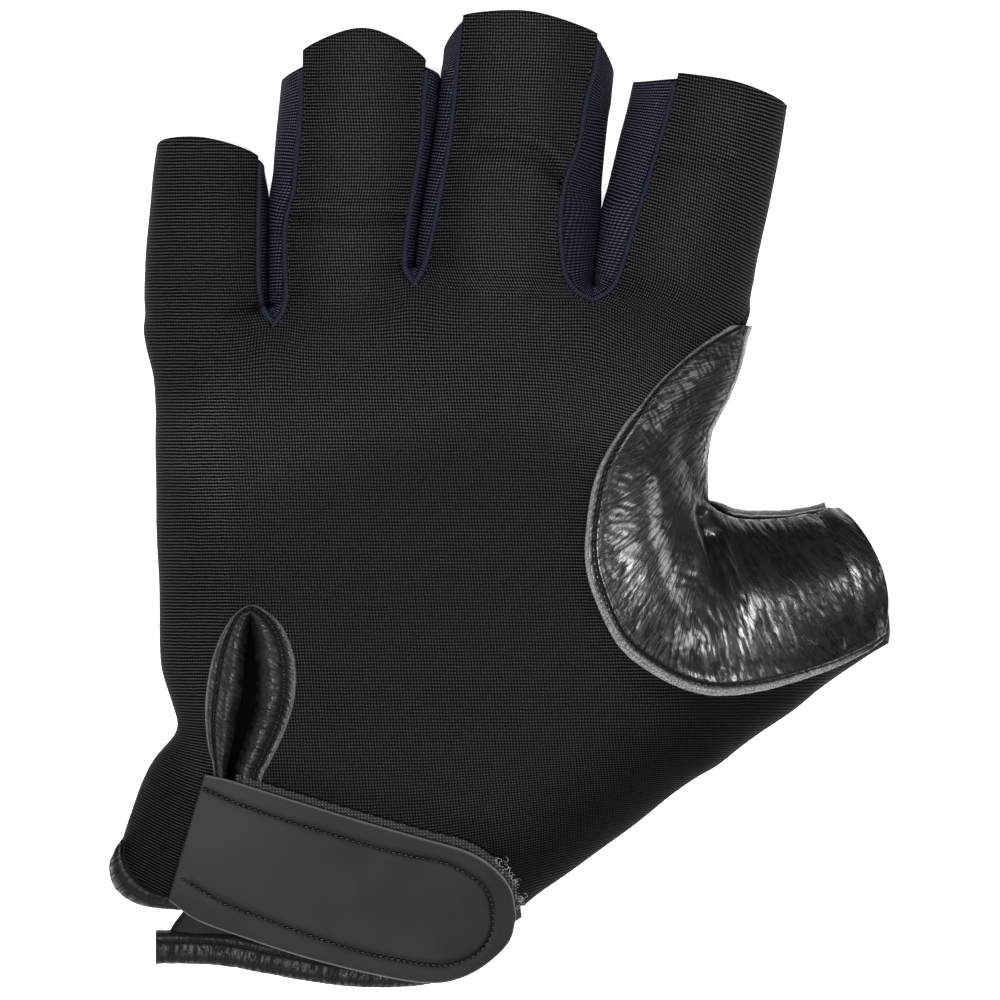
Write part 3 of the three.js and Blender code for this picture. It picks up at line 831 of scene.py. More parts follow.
def swell(grid, turn, apart, together):
    """Moves the two sides of a wall to the middle of their gap, and tells how far each point has gone."""
    facing = []
    for side in (grid[turn::-1, WALL_COLUMNS // 2], grid[turn:, WALL_COLUMNS // 2]):
        order = np.argsort(side[:, 1])
        facing.append(np.interp(grid[..., 1], side[order, 1], side[order, 0]))
    meeting = ramp(-grid[..., 1], -apart, -together) * 1.05 * np.sin(math.pi * wall_shares)
    grid[..., 0] += ((facing[0] + facing[1]) / 2 - grid[..., 0]) * meeting
    return meeting


wall_pieces = {}
wall_tops = {}
for name, (left_finger, left_curve, left_top, right_finger, right_curve, right_top) in FOURCHETTES.items():
    plan, turn = wall_plan(left_curve, left_top, right_curve, right_top)
    outwards = normalised(smoothed(leftward(plan), 4))
    from_turn = (np.arange(len(plan)) - turn) * WALL_STEP
    faded = np.ones((len(plan), 1, len(FINGERS)))
    faded[:, 0, right_finger] = ramp(-from_turn, -CROTCH_TURN / 2, CROTCH_TURN / 2)
    faded[:, 0, left_finger] = ramp(from_turn, -CROTCH_TURN / 2, CROTCH_TURN / 2)
    upper = top_at(plan, own=faded[:, 0])
    core = upper[:, :2] - outwards * CORE_DEPTH
    lower = cast(with_height(core, FINGER_SEAM), with_height(outwards, 0.0), own=faded[:, 0])
    line = wall_lines(core, outwards, upper, lower, faded)
    grid, length = respaced(line, WALL_COLUMNS)
    cut_back(grid, plan, from_turn < 0, left_top, WALL_DROPS[name][0])
    cut_back(grid, plan, from_turn >= 0, right_top, WALL_DROPS[name][1])
    meeting = swell(grid, turn, *WALLS_MEET[name])
    run = np.arange(len(plan))[:, None] * WALL_STEP + np.zeros_like(length)
    # painted shade: the wall is darker along the left finger's side of the crotch and deep in the gap,
    # where its two sides meet
    shade = np.zeros(grid.shape)
    darker = 0.34 * ramp(-from_turn, -3.0, 3.0)[:, None] + 0.36 * np.clip(meeting, 0, 1) ** 2
    shade[..., 1] = np.maximum(0.5 - darker, 0)
    sheet = Sheet().add(grid, np.stack([length, run], axis=-1), own=faded, paint=shade)
    wall_pieces[name] = sheet.piece(name + "_knit", KNIT)
    wall_tops[name] = upper
print("walls", {name: len(top) for name, top in wall_tops.items()})

# %% [markdown]
# ## The leather palm
#
# The palm is one leather panel that comes up round the sides of the hand. On the outer side of the index
# finger it climbs highest, and a strip of it shows from above. Underneath, the glove rests on it.

# %% Palm panel


def under_marks(boundary, height, heading, own=None, inset=INSET):
    """The seam of the palm just below a seam of the back."""
    return side_at(boundary[:, :2] - inset * np.array(heading), heading, height, own=own)


PALM_SEAM = 7.2
PALM_INDEX = 9.0
PALM_COLUMNS = 26
PALM_HEM_START = -82.0
PALM_CROTCH_ROWS = 7
palm_sheet = Sheet()


def down_flow(grid, length):
    """Cloth coordinates of a grid under the hand."""
    return np.stack([length + grid[:, :1, 0], grid[..., 1]], axis=-1)


def lower_edge(finger, heading, low, high):
    """The lower edge of a finger's side wall."""
    heights = np.linspace(low, high, ROWS_FINGER + 1)[1:]
    table = finger_tables[finger]
    left, right = (np.interp(heights, table[0], table[c]) for c in (1, 2))
    middle = np.stack([(left + right) / 2, heights], axis=1)
    return side_at(middle, heading, FINGER_SEAM - 0.3, own=finger)


def palm_seam(column, crotch, finger, heading, tip):
    """A seam line that runs along the floor to the crotch and on along the finger's lower edge."""
    floor_line = bottom_at(by_height([through(column)], marks(PALM_HEM_START, SLIT_END, crotch)))
    line = np.vstack([floor_line, lower_edge(finger, heading, crotch, tip)])
    start = len(floor_line) - 1
    for i in range(1, PALM_CROTCH_ROWS + 1):
        share = ramp(i, 0, PALM_CROTCH_ROWS)
        line[start + i] = line[start] * (1 - share) + line[start + i] * share
    return line


def between_lines(one, other, shares):
    """Plan points between two lines, in columns with a share across each."""
    shares = shares[None, :, None]
    return one[:, None, :] * (1 - shares) + other[:, None, :] * shares


PALM_PINKY_COLUMN = [(-49.0, -90), (-47.2, -20), (-44.6, 20), (-42.8, 33.0)]
PALM_RIGHT = [
    (3.2, -78.6), (14, -70.3), (26.9, -60.8), (41.5, -49.4), (42.3, -40), (41.6, -20), (40.0, -2.0),
    (41.7, 16.2), (46.6, 31.0),
]
palm_left = under_marks(left_seam, PALM_SEAM, TO_LEFT, own=PINKY, inset=12.0)
palm_right_low = bottom_at(evenly(through(PALM_RIGHT), shared) - np.array([1.5, 0.0]))
finger_right = under_marks(index_end[shared - 1 :], PALM_INDEX, TO_RIGHT, own=INDEX)
palm_strips = [
    (PINKY, palm_left, palm_seam(PALM_PINKY_COLUMN, PINKY_CROTCH, PINKY, TO_RIGHT, 64.0), PALM_COLUMNS),
    (
        RING,
        palm_seam(PALM_PINKY_COLUMN, PINKY_CROTCH, RING, TO_LEFT, 81.2),
        palm_seam(ring_middle_column, MIDDLE_CROTCH, RING, TO_RIGHT, 80.7),
        PALM_COLUMNS,
    ),
    (
        MIDDLE,
        palm_seam(ring_middle_column, MIDDLE_CROTCH, MIDDLE, TO_LEFT, 85.8),
        palm_seam(middle_index_column, INDEX_CROTCH, MIDDLE, TO_RIGHT, 81.6),
        PALM_COLUMNS,
    ),
    (
        INDEX,
        palm_seam(middle_index_column, INDEX_CROTCH, INDEX, TO_LEFT, 78.7),
        np.vstack([palm_right_low[:-1], finger_right]),
        PALM_COLUMNS + 4,
    ),
]


def shaded_slit(grid):
    """The part of the palm that is seen through the slit lies in deep shade."""
    paint = np.zeros(grid.shape)
    paint[..., 2] = near_line(grid, [(-50.0, -84.0), (-50.0, -52.0), (-47.4, -24.0)], 6.0)
    return paint


for own, start, end, columns in palm_strips:
    grid, length = arch(start, end, columns, own=own, under=True)
    palm_sheet.add(grid, down_flow(grid, length), own=own, paint=shaded_slit(grid))

# %% Palm side of the thumb and the wrist's corner
UNDER_THUMB_ROWS, UNDER_THUMB_COLUMNS = 46, 60
THUMB_LOWER = [(41.5, -49.4), (47.6, -46), (55.2, -40.5), (62.8, -34.6), (69.0, -30.6), (73.6, -28.0)]
THUMB_UPPER = [(40.6, -2.4), (47.6, -2.9), (55.2, -2.6), (59.4, -1.7), (62.5, -0.6)]
lower_plan = evenly(through(THUMB_LOWER), UNDER_THUMB_ROWS)
upper_plan = evenly(through(THUMB_UPPER), UNDER_THUMB_ROWS)
thumb_low = side_at(lower_plan + (-5.5, 7.0), TO_WING, PALM_SEAM)
thumb_high = side_at(upper_plan + (0.0, -INSET), (0.0, 1.0), PALM_SEAM)
under_bow = ramp(np.linspace(0, 1, UNDER_THUMB_ROWS), 0.5, 1.0)[:, None] * np.array([4.6, -0.6])
thumb_under, thumb_length = arch(thumb_low, thumb_high, UNDER_THUMB_COLUMNS, under=True, bow=under_bow)
palm_sheet.add(thumb_under, down_flow(thumb_under, thumb_length))

CORNER_LEFT = [(-63.4, -83.2), (-62.0, -80.6), (-59.8, -77.8), (-58.0, -75.0)]
CORNER_RIGHT = [(-47.6, -83.2), (-47.4, -80.0), (-47.2, -77.8), (-47.0, -75.0)]
CORNER_ROWS, CORNER_COLUMNS = 12, 10
CORNER_HEIGHT, CORNER_RISE, CORNER_WAVE = 5.4, 1.1, 0.5
corner_left = evenly(np.array(CORNER_LEFT), CORNER_ROWS)
corner_right = evenly(np.array(CORNER_RIGHT), CORNER_ROWS)
corner_plan = between_lines(corner_left, corner_right, np.linspace(0, 1, CORNER_COLUMNS))
corner_climb = CORNER_RISE * np.linspace(0, 1, CORNER_ROWS)[:, None]
corner_wave = CORNER_WAVE * np.sin(np.linspace(0, 5, CORNER_COLUMNS))
palm_corner = with_height(corner_plan, CORNER_HEIGHT + corner_climb + corner_wave)
upward = np.broadcast_to((0.0, 0.0, 1.0), palm_corner.shape)
palm_sheet.add(palm_corner, corner_plan, normals=upward)
palm_piece = palm_sheet.piece("leather_palm", LEATHER)

# %% [markdown]
# ## Wrinkles
#
# Soft leather folds in families: each part of it has creases that run one way, a certain distance apart. A
# small noise function gives random hills, and its ridges, stretched along a direction, make such creases.

# %% Noise for folds
LATTICE_SIZE = 64
LATTICE = np.random.default_rng(7).random((LATTICE_SIZE, LATTICE_SIZE))


def hills(u, v):
    """Smooth random hills between 0 and 1, about one unit apart."""
    i, j = np.floor(u).astype(int), np.floor(v).astype(int)
    s, t = u - i, v - j
    s, t = s * s * (3 - 2 * s), t * t * (3 - 2 * t)

    def corner(a, b):
        return LATTICE[(i + a) % LATTICE_SIZE, (j + b) % LATTICE_SIZE]

    low = corner(0, 0) * (1 - s) + corner(1, 0) * s
    high = corner(0, 1) * (1 - s) + corner(1, 1) * s
    return low * (1 - t) + high * t


def creases(u, v, sharp=2.0):
    """Narrow valleys between rounded ridges, between 0 and 1."""
    total = np.abs(2 * hills(u, v) - 1) + 0.5 * np.abs(2 * hills(2.1 * u + 9, 1.7 * v + 4) - 1)
    return 1 - (1 - np.clip(total / 1.1, 0, 1)) ** sharp


def turned(points, angle, pitch, length):
    """Plan coordinates across and along creases that run at an angle, in degrees from the X axis."""
    a = math.radians(angle)
    across = -points[:, 0] * math.sin(a) + points[:, 1] * math.cos(a)
    along = points[:, 0] * math.cos(a) + points[:, 1] * math.sin(a)
    return across / pitch, along / length


def window(points, x, y, reach):
    """1 in the middle of a round patch, falling smoothly to 0."""
    return np.exp(-(((points[:, 0] - x) / reach) ** 2) - ((points[:, 1] - y) / reach) ** 2)


# %% [markdown]
# ## The thumb's leather
#
# One glossy piece covers the thumb and the web beside it. Its long curved border lies on the knit, stitched
# a couple of millimetres in, and shows the pale raw edge of the hide. The rows of its grid fan round the
# crook of the thumb, as the real creases do.

# %% Thumb leather
LEATHER_LIFT = 1.4
EDGE_DROP = 1.1
EDGE_WIDTH = 0.8
STITCH_INSET = 2.0
WEB_GROOVE = 6.4
WEB_EDGE = (2.9, 5.8)
WELT_SUNK = (3.6, 7.2)
CREASE_SHARE = 0.60
# the share of the thumb's rows, and how much further up the side the seam is seen there
SEEN_ROWS = [0, 0.45, 0.50, 0.53, 0.57, 0.61, 0.65, 0.69, 0.77, 0.84, 0.92, 1.0]
SEEN_SHIFT = [0, 0, 3.2, 5.8, 5.5, 4.3, 3.2, 2.2, 1.7, 1.4, 0.7, 0.4]
TIP_BOW = (5.6, -0.6)
THUMB_ROWS = 380
THUMB_COLUMNS = 100

WEB_LINE = [
    (46.6, 33.6), (45.5, 29.6), (43.4, 23.0), (41.0, 15.0), (39.4, 8.0), (38.8, 2.5), (39.6, -1.4),
    (43.0, -2.9), (50.0, -2.9), (55.6, -2.4), (59.4, -1.7), (62.5, -0.9),
]
# the share of the crescent, and the share of the web line that its rows lead to
PACE = ([0, 0.30, 0.58, 0.74, 1.0], [0, 0.20, 0.56, 0.66, 1.0])
FINE = 4000
ARCH_COLUMNS = 150
LEATHER_THICK = 1.15

crescent_edge = evenly(through(crescent), THUMB_ROWS)
crescent_length = run_along(crescent_edge)
share = np.linspace(0, 1, THUMB_ROWS)
pace = np.interp(share, *PACE)
web_edge = evenly(evenly(through(WEB_LINE), THUMB_ROWS), FINE)[np.round(pace * (FINE - 1)).astype(int)]
web_out = normalised(smoothed(leftward(web_edge), 9))
inner_line = cast(with_height(web_edge - 7.0 * web_out, SIDE_SEAM), with_height(web_out, 0.0), lift=0.6)
outer_line = top_at(crescent_edge + (0.0, 0.3), lift=LEATHER_LIFT)


def respaced_to(line, wanted_from_end):
    """Rows with columns at set distances from their far end, which are a function of a row's length."""
    length = run_along(line)
    wanted = length[:, -1:] - wanted_from_end(length[:, -1])
    return at_lengths(line, length, wanted), length[:, -1:] - wanted


# how far the columns beside the border lie from it, and the one that the stitches follow
EDGE_COLUMNS = np.array([0, 0.2, 0.45, 0.7, 0.95, 1.25, 1.55, 1.85, 2.1, 2.35, 2.6, 2.9, 3.3, 3.7])
STITCH_COLUMN = 8


def border_spacing(length):
    """How far each row's columns lie from the border. They are close together where it is stitched."""
    near = EDGE_COLUMNS[None, :] * np.minimum(1, length / 9.0)[:, None]
    t = np.linspace(0, 1, THUMB_COLUMNS - len(EDGE_COLUMNS) + 1)[1:]
    rest = near[:, -1:] + (length[:, None] - near[:, -1:]) * t
    return np.concatenate([near, rest], axis=1)[:, ::-1]


tip_bow = ramp(share, 0.80, 1.0)[:, None] * np.array(TIP_BOW)
dense_rows, _ = arch(
    inner_line, outer_line, ARCH_COLUMNS, lift=LEATHER_LIFT, dense=ARCH_COLUMNS, bow=tip_bow
)
leather_grid, to_border = respaced_to(dense_rows, border_spacing)
print("thumb leather grid", leather_grid.shape)


# where, how far around, which way, how far apart, how long and how deep the creases are
CREASES = [
    (43.5, 24.0, 5.5, -66, 0.95, 6.5, 0.34),
    (37.5, 17.5, 6.0, -58, 1.10, 7.5, 0.42),
    (31.5, 13.0, 6.0, -44, 1.20, 7.0, 0.40),
    (36.5, 7.0, 4.5, -66, 1.00, 7.0, 0.40),
    (25.5, 6.5, 5.5, -24, 1.15, 5.5, 0.34),
    (31.0, 3.0, 5.0, -28, 1.15, 5.0, 0.30),
    (21.5, -3.5, 5.5, -12, 1.25, 4.5, 0.32),
    (28.0, -6.0, 6.0, -10, 1.25, 4.0, 0.28),
    (21.5, -14.0, 5.5, -14, 1.25, 4.0, 0.32),
    (29.0, -15.5, 6.0, -22, 1.20, 4.5, 0.28),
    (24.5, -23.0, 5.5, -38, 1.15, 5.5, 0.42),
    (31.0, -27.5, 5.5, -46, 1.20, 6.0, 0.46),
    (36.5, -22.0, 5.0, -64, 1.25, 6.5, 0.42),
    (40.5, -30.0, 6.0, -80, 1.25, 6.5, 0.44),
    (48.0, -29.0, 6.5, -70, 1.35, 7.5, 0.46),
    (47.0, -17.0, 6.0, -66, 1.25, 6.5, 0.36),
    (56.0, -25.0, 6.5, -64, 1.30, 7.5, 0.46),
    (55.0, -13.5, 6.5, -60, 1.15, 6.5, 0.34),
    (64.0, -20.5, 6.5, -62, 1.25, 7.0, 0.44),
    (63.5, -9.0, 6.0, -58, 1.10, 6.0, 0.32),
    (70.5, -15.5, 5.5, -64, 1.20, 6.0, 0.42),
]


def family_creases(points):
    """Creases of every family, each strongest near its own place."""
    total = np.zeros(len(points))
    height = np.zeros(len(points))
    sway = 0.9 * (hills(points[:, 0] / 5.0 + 3, points[:, 1] / 5.0) - 0.5)
    for number, (x, y, reach, angle, pitch, length, deep) in enumerate(CREASES):
        weight = window(points, x, y, reach) ** 2 + 1e-9
        across, along = turned(points, angle, pitch, length)
        valley = 1 - creases(across + sway / pitch + 7.3 * number, along + 3.1 * number, 3.0)
        fine = 1 - creases(across * 2.3 + 5.7 * number, along * 2.2 + 1.9 * number, 2.4)
        height -= weight * deep * (valley + 0.30 * fine)
        total += weight
    return height / total


# the deep folds that run down from the crook of the thumb: their line, how deep and how wide
CROOK_FOLDS = [
    ([(39.2, -3.0), (41.2, -10.0), (43.4, -17.0), (45.4, -26.0)], 1.9, 1.4),
    ([(41.4, -6.0), (44.8, -14.0), (47.4, -21.0), (49.0, -27.0)], 0.8, 0.7),
    ([(39.8, -6.0), (40.2, -13.0), (41.0, -26.0)], 0.6, 0.6),
]
# where the leather swells beside the crook and over the thumb, and where it sinks along the web
SWELLINGS = [
    ([(29.0, 4.0), (28.5, -6.0), (31.5, -17.0), (37.5, -26.0)], 1.3, 6.0),
    ([(49.0, -17.0), (58.0, -17.5), (67.0, -14.0)], 0.9, 6.0),
    ([(38.5, 2.0), (37.6, 10.0), (40.5, 18.0)], -0.9, 2.6),
]
TIP_LENGTH = 60.0
TIP_STITCH = 3.4


def leather_shape(grid, to_border):
    """Heights of the thumb leather over its smooth form: creases, stitch groove, puckers and border."""
    points = grid.reshape(-1, 3)
    border = to_border.reshape(-1)
    row = np.repeat(np.arange(grid.shape[0]), grid.shape[1])
    run = crescent_length[row]
    height = CREASE_SHARE * family_creases(points)
    fading_out = ramp(points[:, 1], -24, -6)
    for line, deep, reach in CROOK_FOLDS:
        height -= deep * fading_out * near_line(points, line, reach)
    for line, lift, reach in SWELLINGS:
        height += lift * near_line(points, line, reach)
    tip = row / (grid.shape[0] - 1.0)
    from_web = np.repeat(to_border[:, 0], grid.shape[1]) - border - np.interp(tip, SEEN_ROWS, SEEN_SHIFT)
    height = height * (0.30 + 0.70 * ramp(border, 2.2, 5.5)) * (0.12 + 0.88 * ramp(from_web, 5.0, 8.0))
    height -= 0.46 * np.exp(-(((border - STITCH_INSET) / 0.40) ** 2))
    height += 0.12 * np.exp(-(((border - STITCH_INSET - 0.9) / 0.7) ** 2))
    height -= EDGE_DROP * (1 - ramp(border, -0.1, EDGE_WIDTH))
    height -= 0.22 * hills(run / 0.8, np.full_like(run, 11.5)) * (1 - ramp(border, 0, 1.2))
    on_thumb = ramp(tip, 0.62, 0.70)
    height -= 0.95 * (1 - on_thumb) * np.exp(-(((from_web - WEB_GROOVE) / 0.75) ** 2))
    height -= 1.5 * on_thumb * (1 - ramp(from_web, *WELT_SUNK))
    tip_distance = (1 - tip) * TIP_LENGTH
    height -= 0.45 * np.exp(-(((tip_distance - TIP_STITCH) / 0.8) ** 2)) * ramp(border, 2.0, 4.0)
    height -= 0.6 * (1 - ramp(tip_distance, 0.0, 1.6))
    return height


def leather_paint(grid, to_border):
    """Where the hide's raw edge shows, where it is matte, and where shade is painted on it: in the web's
    groove, along the web's edge, beside the rolled seam and over a patch near the lower border.
    """
    x, y = grid[..., 0], grid[..., 1]
    low_side = ramp(-y, 14, 30) * ramp(-x, -72, -62)
    raw_line = 1 - ramp(to_border, 0.50, 0.85)
    raw_band = low_side * 0.50 * (1 - ramp(to_border, 1.45, 1.75))
    matte_web = ramp(y, -6, 6) * ramp(x, 25, 34)
    from_web = to_border[:, :1] - to_border - np.interp(share, SEEN_ROWS, SEEN_SHIFT)[:, None]
    web_part = (1 - ramp(share, 0.60, 0.66))[:, None]
    first, last = WEB_EDGE
    web_raw = 0.95 * web_part * ramp(from_web, first - 0.5, first) * (1 - ramp(from_web, last - 0.6, last))
    # painted shade in the web's groove, on the strip along the web's edge and beside the rolled seam on the
    # thumb
    painted_shade = web_part * np.exp(-((from_web - WEB_GROOVE - 0.4) ** 2))
    painted_shade += 0.9 * web_part * (1 - ramp(from_web, 2.4, 2.9))
    painted_shade += (1 - web_part) * (1 - ramp(from_web, 5.4, 6.8))
    # painted shade over a patch near the lower border, though the hide is not sunk there: it darkens the
    # leather and dulls its highlight
    painted_shade += 0.45 * np.exp(-(((x - 33) / 9) ** 2) - ((y + 27) / 8) ** 2)
    raw_edge = np.maximum(np.maximum(raw_line, raw_band), web_raw)
    return np.stack([raw_edge, matte_web, np.clip(painted_shade, 0, 1)], axis=-1)


leather_height = leather_shape(leather_grid, to_border)
leather_normals = outward(leather_grid)
leather_points = leather_grid + leather_normals * leather_height.reshape(leather_grid.shape[:2])[..., None]
border_paint = leather_paint(leather_grid, to_border)
crease_slant = -0.54 * (1 - ramp(share, 0.08, 0.22)) + 0.53 * ramp(share, 0.60, 0.74)
leather_flow = np.stack([crescent_length[:, None] + crease_slant[:, None] * to_border, to_border], axis=-1)
leather_sheet = Sheet().add(leather_points, leather_flow, paint=border_paint, normals=leather_normals)
leather_piece = leather_sheet.piece("leather_thumb", LEATHER_THICK)

# %% [markdown]
# ## The rolled seam of the thumb
#
# Where the thumb's leather meets the palm, both are turned in and sewn, so the seam stands out as a firm
# roll along the upper side of the thumb.

# %% Rolled seam
WELT_PLAN = [
    (43.8, 24.0), (41.8, 17.0), (39.8, 9.0), (39.0, 3.0), (39.8, -1.2), (43.4, -2.7), (50.0, -2.8),
    (55.8, -2.2), (59.8, -1.3), (62.6, -0.2),
]
WELT_ROWS, WELT_SIDES = 190, 18
WELT_WOBBLE = 0.16
WELT_MIDDLE = 1.05


def flow_grid(along, across):
    """Cloth coordinates of a grid from the places of its rows and of its columns."""
    return np.stack(np.broadcast_arrays(along[:, None], across[None, :]), axis=-1)


def tube_around(line, radii, sides, wobble):
    """A closed tube along a line of points. The wobble is added to its radius at each point round it."""
    run = normalised(np.gradient(line, axis=0))
    side = normalised(np.cross(run, (0.0, 0.0, 1.0)))
    up = np.cross(side, run)
    angle = np.linspace(0, 2 * math.pi, sides, endpoint=False)
    ring = np.cos(angle)[None, :, None] * side[:, None, :] + np.sin(angle)[None, :, None] * up[:, None, :]
    size = np.asarray(radii, float)[:, None] + wobble
    points = line[:, None, :] + ring * size[..., None]
    count = len(line) * sides
    number = np.arange(count).reshape(len(line), sides)
    turn = np.roll(number, -1, axis=1)
    quads = np.stack([number[:-1], turn[:-1], turn[1:], number[1:]], axis=-1).reshape(-1, 4)
    caps = []
    for row, order in ((0, 1), (len(line) - 1, -1)):
        ends = number[row][::order]
        for i in range(1, sides - 1):
            caps.append([ends[0], ends[i + 1], ends[i], ends[0]])
    flow = flow_grid(run_along(line), angle * size.mean()).reshape(-1, 2)
    return points.reshape(-1, 3), np.concatenate([quads, np.array(caps)]), flow


welt_line = evenly(through(WELT_PLAN), WELT_ROWS)
welt_out = leftward(welt_line)
welt_row = np.arange(WELT_ROWS)
welt_height = np.interp(welt_row, [0, 90, 116, 189], [SIDE_SEAM, 8.2, 11.6, 12.0])
welt_lift = np.interp(welt_row, [0, 84, 110, 189], [0.1, 0.1, 0.9, 0.8])
welt_core = cast(
    with_height(welt_line - 7.0 * welt_out, welt_height), with_height(welt_out, 0.0), lift=welt_lift
)
welt_radius = np.interp(welt_row, [0, 84, 104, 125, 189], [0.30, 0.32, 0.70, 0.95, 0.90])
welt_angle = np.linspace(0, 2 * math.pi, WELT_SIDES, endpoint=False)
along_welt, around_welt = np.broadcast_arrays(welt_row[:, None], welt_angle[None, :])
welt_wobble = WELT_WOBBLE * (hills(along_welt * 0.22 + around_welt * 0.8, around_welt) - 0.5)
welt_points, welt_faces, welt_flow = tube_around(
    drawn_in(welt_core), welt_radius, WELT_SIDES, welt_wobble * (welt_radius / WELT_MIDDLE)[:, None]
)
welt_paint = np.zeros((WELT_ROWS, WELT_SIDES, 3))
outer_side = np.clip(-np.cos(welt_angle) - 0.1, 0, 1)[None, :]
welt_raw = np.interp(welt_row, [0, 92, 112, 189], [0.85, 0.85, 0.75, 0.6])
welt_paint[..., 0] = welt_raw[:, None] * outer_side
welt_piece = mesh_object("leather_welt", welt_points, welt_faces, welt_flow, welt_paint.reshape(-1, 3))

# %% [markdown]
# ## The bound slit
#
# The slit at the wrist lets the hand in. A leather strip binds its edge: a flat rim that is stitched down
# and, inside the stitches, a full soft roll that turns down into the slit.

# %% Slit binding
# its outer and slit edges as x, y, x, y, from the hem up the left side, over the end and down the right
BINDING = [
    (-53.2, -79.0, -51.2, -79.0), (-53.5, -64.6, -51.4, -64.6), (-54.2, -51.3, -52.0, -51.5),
    (-55.2, -47.0, -51.4, -47.5), (-55.8, -41.0, -50.6, -42.0), (-55.4, -35.0, -49.4, -36.4),
    (-54.2, -29.4, -48.8, -30.0), (-52.4, -25.0, -48.2, -25.6), (-50.2, -21.6, -47.7, -22.8),
    (-47.2, -19.8, -47.2, -22.0), (-44.6, -20.6, -46.9, -22.6), (-41.4, -23.4, -46.5, -24.4),
    (-39.2, -28.2, -45.9, -27.9), (-38.5, -33.5, -45.5, -34.0), (-39.0, -38.6, -45.8, -39.4),
    (-40.8, -44.2, -47.2, -43.6), (-43.4, -49.6, -48.9, -48.6), (-45.1, -53.4, -49.9, -52.3),
    (-45.9, -64.6, -49.5, -64.6), (-46.5, -79.0, -49.0, -79.0),
]


def ribbon(outer, inner, shares, lifts):
    """A strip on the form between two plan lines. Each column has a share across and a height over it."""
    columns = []
    for share, lift in zip(shares, lifts):
        columns.append(top_at(outer * (1 - share) + inner * share, lift=lift))
    return np.stack(columns, axis=1)


binding_line = evenly(through(BINDING, each=16), 330)
binding_outer, binding_inner = binding_line[:, :2], binding_line[:, 2:]
# the profile across the binding: a flat rim, a groove with its stitches, and the roll
BINDING_SHARES = np.array([
    0, 0.03, 0.07, 0.12, 0.18, 0.23, 0.27, 0.30, 0.33, 0.36, 0.40, 0.45,
    0.52, 0.60, 0.68, 0.76, 0.84, 0.91, 0.97, 1.02, 1.05, 1.07, 1.08, 1.08,
])
BINDING_LIFTS = np.array([
    0.15, 0.85, 1.15, 1.2, 1.15, 1.05, 0.85, 0.62, 0.62, 0.9, 1.35, 1.8,
    2.2, 2.45, 2.5, 2.4, 2.15, 1.75, 1.2, 0.5, -0.3, -1.1, -1.9, -2.7,
])
BINDING_THICK = 0.9
BINDING_GROOVE = 0.315
GROOVE_COLUMN = 7
STITCH_PITCH = 1.3
binding_grid = ribbon(binding_outer, binding_inner, BINDING_SHARES, BINDING_LIFTS)
binding_run = run_along(binding_outer)
binding_width = np.linalg.norm(binding_outer - binding_inner, axis=1)
run_grid = np.broadcast_to(binding_run[:, None], binding_grid.shape[:2])
across_grid = binding_width[:, None] * BINDING_SHARES[None, :]
on_roll = ramp(BINDING_SHARES, 0.36, 0.55) * ramp(-BINDING_SHARES, -1.05, -0.9)
roll_folds = 0.44 * (creases(run_grid / 1.9 + across_grid * 0.42, across_grid / 4.0, 2.2) - 1)
roll_folds += 0.16 * (creases(run_grid / 0.55, across_grid / 1.2) - 1)
roll_folds *= on_roll
pulled_down = 0.10 + 0.10 * np.cos(run_grid * 2 * math.pi / STITCH_PITCH)
stitch_dent = np.exp(-(((BINDING_SHARES - BINDING_GROOVE) / 0.05) ** 2)) * pulled_down
binding_normals = outward(binding_grid)
binding_grid = binding_grid + binding_normals * (roll_folds - stitch_dent)[..., None]
binding_paint = np.zeros(binding_grid.shape)
binding_paint[..., 0] = 0.45 * (1 - ramp(BINDING_SHARES, 0.02, 0.10))[None, :]
binding_flow = np.stack([run_grid + across_grid * 0.6, across_grid], axis=-1)
binding_sheet = Sheet().add(binding_grid, binding_flow, paint=binding_paint, normals=binding_normals)
binding_piece = binding_sheet.piece("leather_slit_binding", BINDING_THICK)

# %% [markdown]
# ## The closing tab
#
# The tab is a flat strap of matte soft plastic with a round free end. It is sewn into the seam at its left
# end, lies over the slit and is held at its free end by hook and loop tapes. A line of black thread runs
# round it, and its face is bare.

# %% Tab
TAB_TOP = [
    (-55.8, -52.0), (-50.8, -53.1), (-40.2, -56.4), (-25.7, -60.8), (-14.5, -64.0), (-6.7, -66.3),
]
TAB_TIP_TOP = [(-1.6, -69.2), (2.2, -73.6), (3.4, -79.0)]
TAB_TIP_LOW = [(2.0, -84.0), (-2.6, -88.4), (-8.0, -91.0)]
TAB_LOW = [
    (-14.0, -91.6), (-23.5, -90.0), (-37.0, -86.6), (-49.1, -82.7), (-57.5, -79.6), (-62.8, -75.9),
]
# the line of stitches, in pixels of the overhead view
TAB_STITCHES_PX = [
    (206, 788), (236, 801), (281, 817), (330, 832), (383, 848), (424, 857), (449, 863), (471, 875),
    (484, 886), (491, 900), (493, 916), (491, 934), (479, 951), (459, 961), (439, 964), (408, 960),
    (366, 951), (333, 941), (300, 930), (260, 915), (225, 902), (185, 878),
]
PIXEL = 0.19
VIEW_MIDDLE_X, VIEW_MIDDLE_Y = 499.5, 500.0
TAB_LIFT = 4.4
TAB_THICK = 1.8
TAB_BEVEL, TAB_ROUND = 0.55, 0.7
TAB_GROOVE = 0.42
TAB_WAVES = 0.25
TAB_ROWS, TAB_ACROSS = 190, 54


def photo_plan(points):
    """Places measured in the overhead view, in its pixels, as millimetres from the middle of the glove."""
    return [((x - VIEW_MIDDLE_X) * PIXEL, (VIEW_MIDDLE_Y - y) * PIXEL) for x, y in points]


